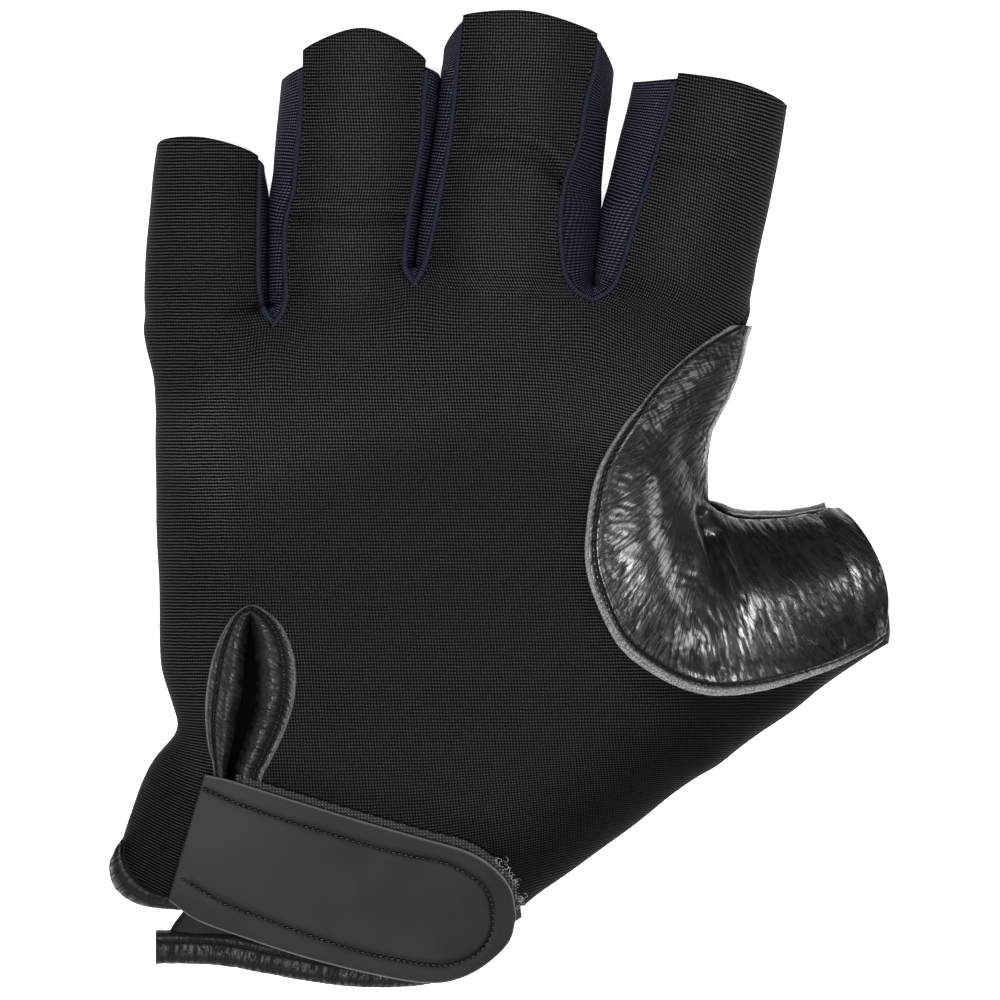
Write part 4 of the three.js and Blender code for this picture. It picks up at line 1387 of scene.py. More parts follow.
tab_upper = evenly(through(TAB_TOP + TAB_TIP_TOP), TAB_ROWS)
tab_lower = evenly(through(TAB_LOW[::-1] + TAB_TIP_LOW[::-1] + [TAB_TIP_TOP[-1]]), TAB_ROWS)
tab_outline = np.vstack([tab_upper, tab_lower[::-1]])
tab_shares = np.linspace(0, 1, TAB_ACROSS)
edge_push = 0.5 - 0.5 * np.cos(math.pi * tab_shares)
tab_plan = between_lines(tab_lower, tab_upper, edge_push)
stitch_path = evenly(through(photo_plan(TAB_STITCHES_PX)), 400)
tab_x, tab_y = tab_plan[..., 0], tab_plan[..., 1]
from_edge = distance_to(tab_plan, tab_outline[::3])
from_stitches = distance_to(tab_plan, stitch_path[::4])
tab_bevel = TAB_BEVEL * (1 - np.sqrt(1 - (1 - np.clip(from_edge / TAB_ROUND, 0, 1)) ** 2))
tab_groove = TAB_GROOVE * np.exp(-((from_stitches / 0.55) ** 2))
tab_waves = TAB_WAVES * (hills(tab_x / 16.0, tab_y / 9.0 + 3) - 0.5)
tab_grid = top_at(tab_plan, lift=TAB_LIFT)
tab_normals = outward(tab_grid)
tab_grid = tab_grid + tab_normals * (tab_waves - tab_bevel - tab_groove)[..., None]
cut_edge = 1 - ramp(from_edge, 0.05, 0.45)
paler = np.clip((-30 - tab_x) / 26, 0, 1) * np.clip((tab_y + 84) / 22, 0, 1)
shaded_groove = 0.85 * np.exp(-((from_stitches / 0.46) ** 2))
tab_paint = np.stack([cut_edge, paler, shaded_groove], axis=-1)
tab_sheet = Sheet().add(tab_grid, tab_plan, paint=tab_paint, normals=tab_normals)
tab_piece = tab_sheet.piece("tab_face", TAB_THICK)

# %% [markdown]
# ## Hook tape and loop tape
#
# The hook tape is stuck under the tab and a narrow woven edge of it shows above the tab. The loop tape on
# the back is a little larger, and its torn loops stand out as pale curls beside the round end.

# %% Tapes
HOOK_TOP = [
    (-50.0, -51.8), (-40.2, -54.9), (-25.7, -59.2), (-14.5, -62.4), (-7.0, -64.3), (-2.0, -67.0),
    (2.4, -71.6), (3.9, -76.0),
]
HOOK_LOW = [
    (-50.0, -56.5), (-40.2, -60.4), (-25.7, -65.0), (-14.5, -68.0), (-6.0, -71.0), (-1.0, -77.0),
]
LOOP_TOP = [
    (-36.0, -58.8), (-25.7, -61.8), (-14.5, -64.8), (-6.7, -67.0), (-0.4, -70.0), (3.3, -74.4),
    (4.3, -79.4),
]
LOOP_LOW = [(-36.0, -78.6), (-25.0, -80.8), (-14.0, -82.0), (-4.0, -81.6), (1.0, -81.0), (4.3, -79.4)]


def tape(name, low, high, rows, columns, lift, thick):
    """A tape that lies at a height over the form, between two plan curves."""
    shares = np.linspace(0, 1, columns)
    plan = between_lines(evenly(through(low), rows), evenly(through(high), rows), shares)
    return Sheet().add(top_at(plan, lift=lift), plan).piece(name, thick)


hook_piece = tape("tape_hook", HOOK_LOW, HOOK_TOP, 150, 12, lift=2.2, thick=0.9)
loop_piece = tape("tape_loop", LOOP_LOW, LOOP_TOP, 90, 20, lift=1.15, thick=0.8)

# %% [markdown]
# ## The leather hems
#
# The wrist edge is bound with a folded leather strip. On the palm side it is a full roll that sticks out
# below the tab. On the back it shows as a leaf of leather at the left corner, with a thin cord along the
# knit, and runs on hidden under the tab.

# %% Hems
PALM_HEM = [
    (-65.5, -85.2), (-60.0, -85.2), (-52.0, -85.7), (-44.0, -87.3), (-35.0, -89.1), (-26.0, -90.2),
    (-17.0, -90.2), (-9.0, -88.6), (-5.0, -86.6),
]
HEM_ROWS, HEM_SIDES = 210, 36
HEM_HALF_HEIGHT = 2.7
HEM_SQUARENESS = 2.4
HEM_LENGTH = 72.0
HEM_SEAM_ANGLE = math.radians(120)
FLOOR_GAP = 0.02
hem_plan = evenly(through(PALM_HEM), HEM_ROWS)
hem_centre = with_height(hem_plan, np.interp(hem_plan[:, 0], [-66, -50, 5], [4.6, 4.3, 4.0]))
hem_angle = np.linspace(0, 2 * math.pi, HEM_SIDES, endpoint=False)
half_width = np.interp(hem_plan[:, 0], [-66, -50, -36, -18, 4], [3.3, 3.2, 2.9, 2.6, 2.4])[:, None]
wide = np.abs(np.cos(hem_angle)) / half_width
tall = np.abs(np.sin(hem_angle)) / HEM_HALF_HEIGHT
hem_radius = (wide**HEM_SQUARENESS + tall**HEM_SQUARENESS) ** (-1 / HEM_SQUARENESS)
hem_run = np.linspace(0, HEM_LENGTH, HEM_ROWS)[:, None]
around = hem_angle[None, :] * 3.0
hem_radius += 0.20 * (creases(hem_run / 3.4 + around * 0.3, around / 1.6 + 5, 2.2) - 1)
hem_radius += 0.07 * (creases(hem_run / 0.8, around / 0.9) - 1)
upper_seam = np.exp(-(((hem_angle - HEM_SEAM_ANGLE) / 0.13) ** 2))
hem_radius -= upper_seam * (0.45 + 0.12 * np.cos(hem_run * 2 * math.pi / 1.4))
hem_points, hem_faces, hem_flow = tube_around(hem_centre, np.zeros(HEM_ROWS), HEM_SIDES, hem_radius)
hem_points[:, 2] = np.maximum(hem_points[:, 2], FLOOR_GAP)
hem_paint = np.zeros((len(hem_points), 3))
hem_piece = mesh_object("leather_palm_hem", hem_points, hem_faces, hem_flow, hem_paint)

CORD = [(-73.0, -65.9), (-71.5, -68.8), (-69.4, -71.6), (-67.0, -74.3), (-63.6, -76.2), (-60.0, -77.2)]
LEAF = [(-73.2, -66.4), (-74.3, -69.8), (-73.2, -73.9), (-69.8, -76.4), (-66.0, -77.4), (-60.6, -77.8)]
RIGHT_HEM = [
    (-47.0, -79.8), (-38.0, -80.9), (-25.0, -82.4), (-13.0, -83.4), (-5.0, -82.2), (1.0, -79.6),
]
LEAF_SHARES = np.array([
    0.0, 0.02, 0.05, 0.10, 0.17, 0.25, 0.32, 0.38, 0.42, 0.45, 0.48, 0.52, 0.60, 0.80, 1.0,
])
LEAF_LIFTS = [0.6, 0.9, 1.1, 1.2, 1.25, 1.1, 0.9, 1.0, 1.5, 1.7, 1.4, 0.5, -0.5, -1.2, -1.5]
RIGHT_SHARES = [0, 0.1, 0.3, 0.6, 0.85, 1.0]
RIGHT_LIFTS = [0.2, 0.9, 1.1, 1.1, 0.9, 0.2]
HEM_THICK = 0.9


def flat_hem(name, outer, inner, shares, lifts, length, across):
    """A leather strip along the wrist edge of the back."""
    flow = flow_grid(np.linspace(0, length, len(outer)), np.array(across))
    return Sheet().add(ribbon(outer, inner, shares, lifts), flow).piece(name, HEM_THICK)


leaf_inner = evenly(through(CORD), 90) + (2.6, 3.4)
leaf_piece = flat_hem(
    "leather_left_hem", evenly(through(LEAF), 90), leaf_inner, LEAF_SHARES, LEAF_LIFTS, 20, LEAF_SHARES * 4
)
right_outer = evenly(through(RIGHT_HEM), 120)
right_piece = flat_hem(
    "leather_right_hem", right_outer, right_outer + (0.6, 5.0), RIGHT_SHARES, RIGHT_LIFTS, 50, range(6)
)

# %% [markdown]
# ## Materials as formulas
#
# A material here is written as a formula over the cloth coordinates. A small class lets sockets be added
# and multiplied like numbers, so that the weave of the knit reads as one line of arithmetic.

# %% Formulas for shaders


class Value:
    """The output of a shader node, which takes part in sums like a number."""

    def __init__(self, paint, socket):
        self.paint, self.socket = paint, socket

    def __add__(self, other):
        return self.paint.maths("ADD", self, other)

    def __sub__(self, other):
        return self.paint.maths("SUBTRACT", self, other)

    def __rsub__(self, other):
        return self.paint.maths("SUBTRACT", other, self)

    def __mul__(self, other):
        return self.paint.maths("MULTIPLY", self, other)

    def __truediv__(self, other):
        return self.paint.maths("DIVIDE", self, other)

    def __pow__(self, other):
        return self.paint.maths("POWER", self, other)

    __radd__ = __add__
    __rmul__ = __mul__

    def cosine(self):
        return self.paint.maths("COSINE", self)

    def absolute(self):
        return self.paint.maths("ABSOLUTE", self)

    def floor(self):
        return self.paint.maths("FLOOR", self)

    def clamped(self):
        return self.paint.maths("ADD", self, 0.0, clamp=True)

    def between(self, low, high):
        """0 below low and 1 above high."""
        return ((self - low) / (high - low)).clamped()


class Paint:
    """A material, with the few ways in which this lesson adds nodes to it."""

    def __init__(self, name):
        self.material = bpy.data.materials.new(name)
        self.material.use_nodes = True
        self.tree = self.material.node_tree
        self.tree.nodes.clear()
        self.surface = self.node("ShaderNodeBsdfPrincipled")
        output = self.node("ShaderNodeOutputMaterial")
        self.tree.links.new(self.surface.outputs["BSDF"], output.inputs["Surface"])
        flow = self.node("ShaderNodeUVMap", {"uv_map": "flow"})
        parts = self.node("ShaderNodeSeparateXYZ", values={"Vector": flow.outputs["UV"]})
        self.u, self.v = Value(self, parts.outputs[0]), Value(self, parts.outputs[1])
        place = self.node("ShaderNodeTexCoord").outputs["Object"]
        scaled = self.node("ShaderNodeVectorMath", {"operation": "SCALE"}, {0: place, "Scale": 1000.0})
        self.place = scaled.outputs["Vector"]

    def node(self, kind, settings=None, values=None):
        made = self.tree.nodes.new(kind)
        for key, value in (settings or {}).items():
            setattr(made, key, value)
        for key, value in (values or {}).items():
            self.give(made.inputs[key], value)
        return made

    def give(self, socket, value):
        if isinstance(value, Value):
            self.tree.links.new(value.socket, socket)
        elif isinstance(value, bpy.types.NodeSocket):
            self.tree.links.new(value, socket)
        else:
            socket.default_value = value

    def maths(self, operation, *values, clamp=False):
        settings = {"operation": operation, "use_clamp": clamp}
        return Value(self, self.node("ShaderNodeMath", settings, dict(enumerate(values))).outputs[0])

    def noise(self, scale, detail=2.0, rough=0.5, where=None):
        """Soft noise between 0 and 1. Its scale is per millimetre."""
        values = {"Vector": where or self.place, "Scale": scale, "Detail": detail, "Roughness": rough}
        return Value(self, self.node("ShaderNodeTexNoise", values=values).outputs[0])

    def cells(self, scale):
        """Distance to the walls between random cells."""
        values = {"Vector": self.place, "Scale": scale}
        made = self.node("ShaderNodeTexVoronoi", {"feature": "DISTANCE_TO_EDGE"}, values)
        return Value(self, made.outputs["Distance"])

    def stretched(self, along, across, bent=0.0):
        """The cloth coordinates scaled differently in the two directions and bent a little."""
        values = {0: self.u * along + bent, 1: self.v * across + bent}
        return self.node("ShaderNodeCombineXYZ", values=values).outputs[0]

    def painted(self):
        """The three values painted on the piece."""
        colours = self.node("ShaderNodeAttribute", {"attribute_name": "paint"})
        parts = self.node("ShaderNodeSeparateColor", values={0: colours.outputs["Color"]})
        return [Value(self, parts.outputs[i]) for i in range(3)]

    def blend(self, share, one, other):
        """A colour between two."""
        mix = self.node("ShaderNodeMix", {"data_type": "RGBA"}, {0: share})
        for socket, colour in ((mix.inputs[6], one), (mix.inputs[7], other)):
            self.give(socket, (*colour, 1.0) if isinstance(colour, tuple) else colour)
        return mix.outputs[2]

    def bump(self, height, distance, under=None):
        """A normal from a height between 0 and 1, which stands for a distance in millimetres."""
        values = {"Height": height, "Distance": distance * MM, "Strength": 1.0}
        if under is not None:
            values["Normal"] = under
        return self.node("ShaderNodeBump", values=values).outputs[0]

    def set(self, **values):
        for key, value in values.items():
            self.give(self.surface.inputs[key.replace("_", " ")], value)
        return self.material


# %% [markdown]
# ## Ribbed stretch knit
#
# Warp knit has courses that run across the hand every 0.6 mm and much finer wales that cross them. Where
# the cloth is stretched, in the middle of the hand, it shows as a grid of dots. At the sides it shows as
# ribs. The valleys between the courses are almost black.

# %% Knit
COURSE = 0.612
WALE = 0.56
KNIT_DEPTH = 0.11


def knit(name, valley, ridge, rib_share=None):
    """A knit between two colours. Its ribs are painted on the piece, or have one share all over."""
    paint = Paint(name)
    ribbed, painted_light, _ = paint.painted()
    if rib_share is not None:
        ribbed = rib_share
    course = paint.v + paint.noise(0.22, 2.0) * 0.30 + paint.noise(1.1, 1.0) * 0.10
    row = (course / COURSE).floor()
    rib = (course * (2 * math.pi / COURSE)).cosine() * 0.5 + 0.5
    sway = paint.noise(0.5, 2.0) * 0.5
    wale = ((paint.u / WALE + sway + row * 0.12) * (2 * math.pi)).cosine() * 0.5 + 0.5
    dots = (rib * 0.70 + 0.30) * (wale * 0.76 + 0.24)
    ribs = rib * (wale * 0.25 + 0.75)
    weave = dots * (1 - ribbed) + ribs * ribbed
    uneven = paint.noise(0.9, 3.0, 0.6) * 0.45 + paint.noise(3.0, 2.0, 0.7) * 0.55
    # the painted light and shade of the piece sets how light the ridges are, with a random unevenness;
    # where the knit is ribbed its ridges are painted lighter and with more contrast, for the grazing light
    # that picks out ribs
    lightness = (painted_light * 0.88 + 0.147) * (uneven * 1.1 + 0.45)
    lightness = lightness * (ribbed * 0.32 + 1)
    colour = paint.blend(((weave ** (ribbed * 0.9 + 2.4)) * lightness).clamped(), valley, ridge)
    normal = paint.bump(weave * (ribbed * 0.6 + 0.6), KNIT_DEPTH)
    return paint.set(Base_Color=colour, Roughness=0.72, Specular_IOR_Level=0.05, Normal=normal)


knit_black = knit("black ribbed knit", (0.0004, 0.0004, 0.0004), (0.080, 0.080, 0.0815))
knit_navy = knit("navy knit", (0.001, 0.0012, 0.0025), (0.130, 0.143, 0.220), rib_share=0.75)

# %% [markdown]
# ## Leathers
#
# The thumb's leather is glossy, with a fine grain of pores and short wrinkles that break its highlights.
# Its border is cut raw, so grey fibres show there. The bindings are the same hide, a little duller.

# %% Leather
# the near black of the painted shade
SHADE_BLACK = (0.0008, 0.0007, 0.0007)
WEB_COLOUR = (0.0115, 0.0100, 0.0092)
FIBRE_DARK, FIBRE_PALE = (0.055, 0.055, 0.053), (0.55, 0.55, 0.54)


def folded(paint, pitch, matte, fibre):
    """How high the fine folds stand, and how bare of dark lines the hide is. Both are between 0 and 1."""
    bent = paint.noise(0.35, 2.0, 0.5) * 0.8
    long_fold = paint.noise(1.0, 2.5, 0.5, paint.stretched(0.52 / pitch, 0.10 / pitch, bent))
    short_fold = paint.noise(1.0, 2.0, 0.5, paint.stretched(1.20 / pitch, 0.33 / pitch, bent))
    long_fold, short_fold = (long_fold - 0.5).absolute(), (short_fold - 0.5).absolute()
    tender = paint.noise(0.16, 2.0).between(0.40, 0.60)
    deep = long_fold.between(0.0, 0.12)
    small = 1 - (1 - short_fold.between(0.0, 0.10)) * (tender * 0.6 + 0.4)
    along_stitches = ((paint.u * (2 * math.pi / STITCH_PITCH) + fibre * 2.0).cosine() * 0.5 + 0.5) ** 2.0
    notch = along_stitches * paint.v.between(0.8, 1.4) * (1 - paint.v.between(2.4, 3.8))
    bare = long_fold.between(0.0, matte * 0.030 + 0.055)
    bare = bare * (1 - (1 - short_fold.between(0.0, 0.050)) * (tender * 0.5 + 0.35))
    return deep * 0.60 + small * 0.32 - notch * 0.9, bare * (1 - notch * 0.8)


def leather(
    name, colour, worn, gloss, grain, shine=0.5, web=0.0, creased=0.0, pitch=1.0, coat=0.0, rumpled=0.6
):
    """A hide. Grain and creased are the depths of its pores and folds, in millimetres."""
    paint = Paint(name)
    raw, matte, painted_shade = paint.painted()
    pores = paint.cells(1.7).between(0.0, 0.14)
    wrinkle = paint.noise(0.8, 2.0, 0.5)
    dusty = paint.noise(0.55, 3.0, 0.6)
    fibre = paint.noise(3.2, 3.0, 0.75)
    height = pores * 0.30 + wrinkle * rumpled + fibre * raw * 1.6
    normal = paint.bump(height, grain)
    skin = paint.blend(dusty.between(0.35, 0.75) * 0.6, colour, worn)
    skin = paint.blend(matte * web, skin, WEB_COLOUR)
    rough = gloss + (dusty - 0.5) * 0.10 + matte * web * 0.16
    bare = 1 - painted_shade
    if creased > 0:
        puffed, bare = folded(paint, pitch, matte, fibre)
        # painted shade: the fine crease lines and the notches beside the stitches are painted nearly black
        skin = paint.blend(1 - bare, skin, (0.0010, 0.0009, 0.0009))
        rough = rough + (1 - bare) * 0.45
        normal = paint.bump(puffed, creased, normal)
    # painted shade: the hide turns near black where shade is painted on the piece
    skin = paint.blend(painted_shade, skin, SHADE_BLACK)
    edge_colour = paint.blend(fibre.between(0.35, 0.68), FIBRE_DARK, FIBRE_PALE)
    raw_share = (raw * (fibre * 0.9 + 0.55)).clamped()
    return paint.set(
        Base_Color=paint.blend(raw_share, skin, edge_colour),
        Roughness=(rough + raw_share * 0.5 + painted_shade * 0.5).clamped(),
        Specular_IOR_Level=shine,
        Coat_Weight=(bare * (1 - raw_share) * (1 - painted_shade) * (1 - matte * web * 0.6) * coat).clamped(),
        Coat_Roughness=0.23,
        Normal=normal,
    )


thumb_hide = leather(
    "glossy thumb leather", (0.0030, 0.0028, 0.0027), (0.0070, 0.0065, 0.0062), 0.27, 0.024, shine=0.22,
    web=0.9, creased=0.072, coat=0.80, rumpled=0.3,
)
roll_hide = leather("rolled seam leather", (0.006, 0.0056, 0.0053), (0.020, 0.019, 0.018), 0.36, 0.05)
binding_hide = leather(
    "binding leather", (0.0045, 0.0042, 0.0040), (0.010, 0.0094, 0.0088), 0.34, 0.04, shine=0.42,
    creased=0.12, pitch=0.8,
)
cuff_hide = leather(
    "cuff leather", (0.0036, 0.0034, 0.0032), (0.0078, 0.0072, 0.0068), 0.46, 0.04, shine=0.30,
    creased=0.05, pitch=0.7,
)
palm_hide = leather(
    "palm leather", (0.0045, 0.0043, 0.0041), (0.011, 0.0104, 0.0098), 0.62, 0.05, shine=0.16
)

# %% [markdown]
# ## The tab's soft plastic, its tapes and the threads
#
# The tab is matte and slightly speckled, paler where it was cut. The hook tape is a coarse weave, the loop
# tape a dark fleece. Thread is glossy, twisted and black.

# %% Plastic, tapes and thread
TAPE_PITCH = 0.62


def grey(level):
    return (level, level, level)


def tab_plastic():
    paint = Paint("matte tab plastic")
    cut_edge, pale, groove = paint.painted()
    speck = paint.noise(9.0, 2.0, 0.6)
    cloud = paint.noise(0.12, 2.0)
    face = paint.blend(cloud.between(0.3, 0.7), (0.0086, 0.0086, 0.0088), (0.0123, 0.0123, 0.0126))
    face = paint.blend(pale, face, (0.0225, 0.0225, 0.0228))
    dust = paint.blend(speck.between(0.70, 0.80) * 0.35, face, grey(0.10))
    colour = paint.blend(cut_edge * 0.8, dust, (0.15, 0.14, 0.13))
    # painted shade in the groove of the stitches, which goes nearly black
    colour = paint.blend(groove, colour, grey(0.0014))
    return paint.set(
        Base_Color=colour,
        Roughness=(speck * 0.2 + 0.58).clamped(),
        Specular_IOR_Level=0.20,
        Normal=paint.bump(speck, 0.02),
    )


def mesh_tape():
    paint = Paint("woven hook tape")
    over = (paint.u * (2 * math.pi / TAPE_PITCH)).cosine() * 0.5 + 0.5
    under = (paint.v * (2 * math.pi / TAPE_PITCH)).cosine() * 0.5 + 0.5
    weave = over * under
    colour = paint.blend(weave.between(0.1, 0.7), grey(0.003), grey(0.085))
    normal = paint.bump(weave, 0.25)
    return paint.set(Base_Color=colour, Roughness=0.7, Specular_IOR_Level=0.3, Normal=normal)


def fleece():
    paint = Paint("loop tape fleece")
    fuzz = paint.noise(4.0, 4.0, 0.75)
    colour = paint.blend(fuzz.between(0.35, 0.75), grey(0.006), grey(0.05))
    normal = paint.bump(fuzz, 0.4)
    return paint.set(Base_Color=colour, Roughness=0.9, Specular_IOR_Level=0.15, Normal=normal)


def thread(name, colour, rough, gloss=0.5):
    paint = Paint(name)
    return paint.set(Base_Color=(*colour, 1.0), Roughness=rough, Specular_IOR_Level=gloss)


tab_matte = tab_plastic()
hook_tape = mesh_tape()
loop_tape = fleece()
black_thread = thread("black thread", (0.0035, 0.0035, 0.0035), 0.42, 0.28)
navy_roll = thread("navy rolled knit", (0.0125, 0.0140, 0.0260), 0.8, 0.15)
grey_fibre = thread("grey fibre", (0.30, 0.29, 0.28), 0.6)
print("materials", len(bpy.data.materials))

# %% [markdown]
# ## Seams and stitches grown by nodes
#
# Stitches repeat along a line and a rolled seam follows one, so both are left to geometry nodes. Each tree
# takes a line of points on the cloth. One lays down short fat threads at even steps, turned along the line.
# Another runs a small ribbed tube along it. A third scatters curled fibres.

# %% Node trees


class Growth:
    """A geometry node tree that is built from named steps."""

    def __init__(self, name, **inputs):
        self.tree = bpy.data.node_groups.new(name, "GeometryNodeTree")
        face = self.tree.interface
        face.new_socket("Geometry", in_out="INPUT", socket_type="NodeSocketGeometry")
        self.sockets = {}
        for key, kind in inputs.items():
            self.sockets[key] = face.new_socket(key, in_out="INPUT", socket_type=kind).identifier
        face.new_socket("Geometry", in_out="OUTPUT", socket_type="NodeSocketGeometry")
        self.start = self.tree.nodes.new("NodeGroupInput")
        self.end = self.tree.nodes.new("NodeGroupOutput")

    def given(self, name):
        return self.start.outputs[name]

    def step(self, kind, settings=None, values=None, output=0):
        """Adds a node and gives one of its outputs."""
        made = self.tree.nodes.new(kind)
        for key, value in (settings or {}).items():
            setattr(made, key, value)
        for key, value in (values or {}).items():
            if isinstance(value, bpy.types.NodeSocket):
                self.tree.links.new(value, made.inputs[key])
            else:
                made.inputs[key].default_value = value
        return made.outputs[output]

    def maths(self, operation, *values):
        return self.step("ShaderNodeMath", {"operation": operation}, dict(enumerate(values)))

    def curve(self):
        """The given line as a curve."""
        return self.step("GeometryNodeMeshToCurve", values={"Mesh": self.given("Geometry")})

    def resampled(self, curve, length):
        values = {"Curve": curve, "Length": length}
        return self.step("GeometryNodeResampleCurve", {"mode": "LENGTH"}, values)

    def varied(self, low, high):
        """A random number between two, one for each point."""
        values = {2: low, 3: high, "Seed": self.given("Seed")}
        return self.step("FunctionNodeRandomValue", {"data_type": "FLOAT"}, values, output=1)

    def laid(self, points, shape, rotation, scale):
        """A copy of a shape at every point."""
        values = {"Points": points, "Instance": shape, "Rotation": rotation, "Scale": scale}
        return self.step("GeometryNodeInstanceOnPoints", values=values)

    def finish(self, geometry, material):
        real = self.step("GeometryNodeRealizeInstances", values={"Geometry": geometry})
        dressed = self.step("GeometryNodeSetMaterial", values={"Geometry": real, "Material": material})
        self.tree.links.new(dressed, self.end.inputs[0])
        return self

    def grow(self, name, line, **values):
        """A plain mesh object grown along a line of millimetre points."""
        mesh = bpy.data.meshes.new(name + " line")
        edges = [(i, i + 1) for i in range(len(line) - 1)]
        mesh.from_pydata((drawn_in(line) * MM).tolist(), edges, [])
        made = bpy.data.objects.new(name, mesh)
        bpy.context.scene.collection.objects.link(made)
        modifier = made.modifiers.new("growth", "NODES")
        modifier.node_group = self.tree
        for key, value in values.items():
            modifier[self.sockets[key]] = value
        settled = made.evaluated_get(bpy.context.evaluated_depsgraph_get())
        grown = bpy.data.meshes.new_from_object(settled)
        made.modifiers.clear()
        made.data = grown
        grown.shade_smooth()
        grown.name = name
        print(f"{name}: {len(grown.polygons)} faces")
        return made


def stitch_growth():
    growth = Growth(
        "stitches", Spacing="NodeSocketFloat", Length="NodeSocketFloat", Radius="NodeSocketFloat",
        Lean="NodeSocketFloat", Seed="NodeSocketInt", Thread="NodeSocketMaterial",
    )
    radius = growth.given("Radius")
    points = growth.resampled(growth.curve(), growth.given("Spacing"))
    tangent = growth.step("GeometryNodeInputTangent")
    facing = growth.step("FunctionNodeAlignRotationToVector", {"axis": "X"}, {"Vector": tangent})
    turn = growth.step("ShaderNodeCombineXYZ", values={2: growth.given("Lean")})
    lean = growth.step("FunctionNodeEulerToRotation", values={0: turn})
    rotation = growth.step("FunctionNodeRotateRotation", {"rotation_space": "LOCAL"}, {0: facing, 1: lean})
    bead = growth.step("GeometryNodeMeshUVSphere", values={"Segments": 8, "Rings": 6, "Radius": 1.0})
    half = growth.maths("MULTIPLY", growth.given("Length"), 0.5)
    size = growth.step("ShaderNodeCombineXYZ", values={0: half, 1: radius, 2: radius})
    values = {0: size, "Scale": growth.varied(0.86, 1.12)}
    scale = growth.step("ShaderNodeVectorMath", {"operation": "SCALE"}, values)
    return growth.finish(growth.laid(points, bead, rotation, scale), growth.given("Thread"))


def roll_growth():
    growth = Growth(
        "rolled seam", Radius="NodeSocketFloat", Pitch="NodeSocketFloat", Rib="NodeSocketFloat",
        Cloth="NodeSocketMaterial",
    )
    fine = growth.resampled(growth.curve(), growth.maths("MULTIPLY", growth.given("Pitch"), 0.2))
    along = growth.step("GeometryNodeSplineParameter", output="Length")
    turns = growth.maths("MULTIPLY", growth.maths("DIVIDE", along, growth.given("Pitch")), 2 * math.pi)
    swing = growth.maths("MULTIPLY", growth.maths("COSINE", turns), growth.given("Rib"))
    size = growth.maths("MULTIPLY", growth.given("Radius"), growth.maths("ADD", swing, 1.0))
    ring = growth.step("GeometryNodeCurvePrimitiveCircle", values={"Resolution": 9, "Radius": 1.0})
    values = {"Curve": fine, "Profile Curve": ring, "Scale": size, "Fill Caps": True}
    return growth.finish(growth.step("GeometryNodeCurveToMesh", values=values), growth.given("Cloth"))


def fuzz_growth():
    growth = Growth(
        "curled fibres", Size="NodeSocketFloat", Thickness="NodeSocketFloat", Seed="NodeSocketInt",
        Fibre="NodeSocketMaterial",
    )
    points = growth.step("GeometryNodeMeshToPoints", values={"Mesh": growth.given("Geometry")})
    values = {"Resolution": 14, "Radius": 1.0, "Start Angle": 0.2, "Sweep Angle": 4.4}
    arc = growth.step("GeometryNodeCurveArc", values=values)
    values = {"Resolution": 5, "Radius": growth.given("Thickness")}
    ring = growth.step("GeometryNodeCurvePrimitiveCircle", values=values)
    values = {"Curve": arc, "Profile Curve": ring, "Fill Caps": True}
    curl = growth.step("GeometryNodeCurveToMesh", values=values)
    values = {0: (-0.9, -0.9, 0.0), 1: (0.9, 0.9, 6.28), "Seed": growth.given("Seed")}
    spin = growth.step("FunctionNodeRandomValue", {"data_type": "FLOAT_VECTOR"}, values)
    scale = growth.maths("MULTIPLY", growth.varied(0.45, 1.25), growth.given("Size"))
    return growth.finish(growth.laid(points, curl, spin, scale), growth.given("Fibre"))


stitches, rolls, fuzz = stitch_growth(), roll_growth(), fuzz_growth()

# %% [markdown]
# ## Where the seams run
#
# The lines come from the pieces themselves. The stitches of the thumb's leather lie in its groove, those of
# the tab in its own. A fine ribbed roll joins each navy wall to the back, with small stitches beside it.

# %% Lines of stitches
grown = []


def stitch(name, slot, line, spacing, length, radius, lean=0.0, seed=1):
    """Stitches along a line. Their spacing, length and radius are in millimetres."""
    piece = stitches.grow(
        name, line, Spacing=spacing * MM, Length=length * MM, Radius=radius * MM, Lean=lean, Seed=seed,
        Thread=black_thread,
    )
    grown.append((piece, slot))


tab_line = top_at(stitch_path, lift=TAB_LIFT) - (0.0, 0.0, 0.02)
stitch("stitches_tab", "tab_matte", tab_line, 1.14, 1.12, 0.34, lean=0.26, seed=3)

groove_column = THUMB_COLUMNS - 1 - STITCH_COLUMN
leather_line = leather_points[14:-2, groove_column] + leather_normals[14:-2, groove_column] * 0.02
tip_row = int(round((1 - TIP_STITCH / TIP_LENGTH) * (THUMB_ROWS - 1)))
tip_line = leather_points[tip_row, 4:-9] + leather_normals[tip_row, 4:-9] * 0.05
stitch("stitches_thumb", "gloss_leather", leather_line, 1.30, 0.85, 0.20, seed=5)
stitch("stitches_thumb_tip", "gloss_leather", tip_line, 1.40, 0.95, 0.19, seed=6)

in_groove = (binding_grid[:, GROOVE_COLUMN] + binding_grid[:, GROOVE_COLUMN + 1]) / 2
in_groove = in_groove + binding_normals[:, GROOVE_COLUMN] * 0.03
stitch("stitches_slit", "binding_leather", in_groove, STITCH_PITCH, 0.95, 0.21, lean=0.12, seed=8)

for name, top in wall_tops.items():
    away = with_height(-leftward(top[:, :2]), 0.0)
    roll_line = top - away * 0.30 + (0.0, 0.0, 0.10)
    roll = rolls.grow(
        "rolled_" + name, roll_line[1:-1], Radius=0.50 * MM, Pitch=0.62 * MM, Rib=0.30, Cloth=navy_roll
    )
    grown.append((roll, "knit_navy"))
    stitch_line = top + away * 0.42 + (0.0, 0.0, 0.12)
    stitch("stitches_" + name, "knit_black", stitch_line[2:-2], 1.20, 0.80, 0.24, seed=11)

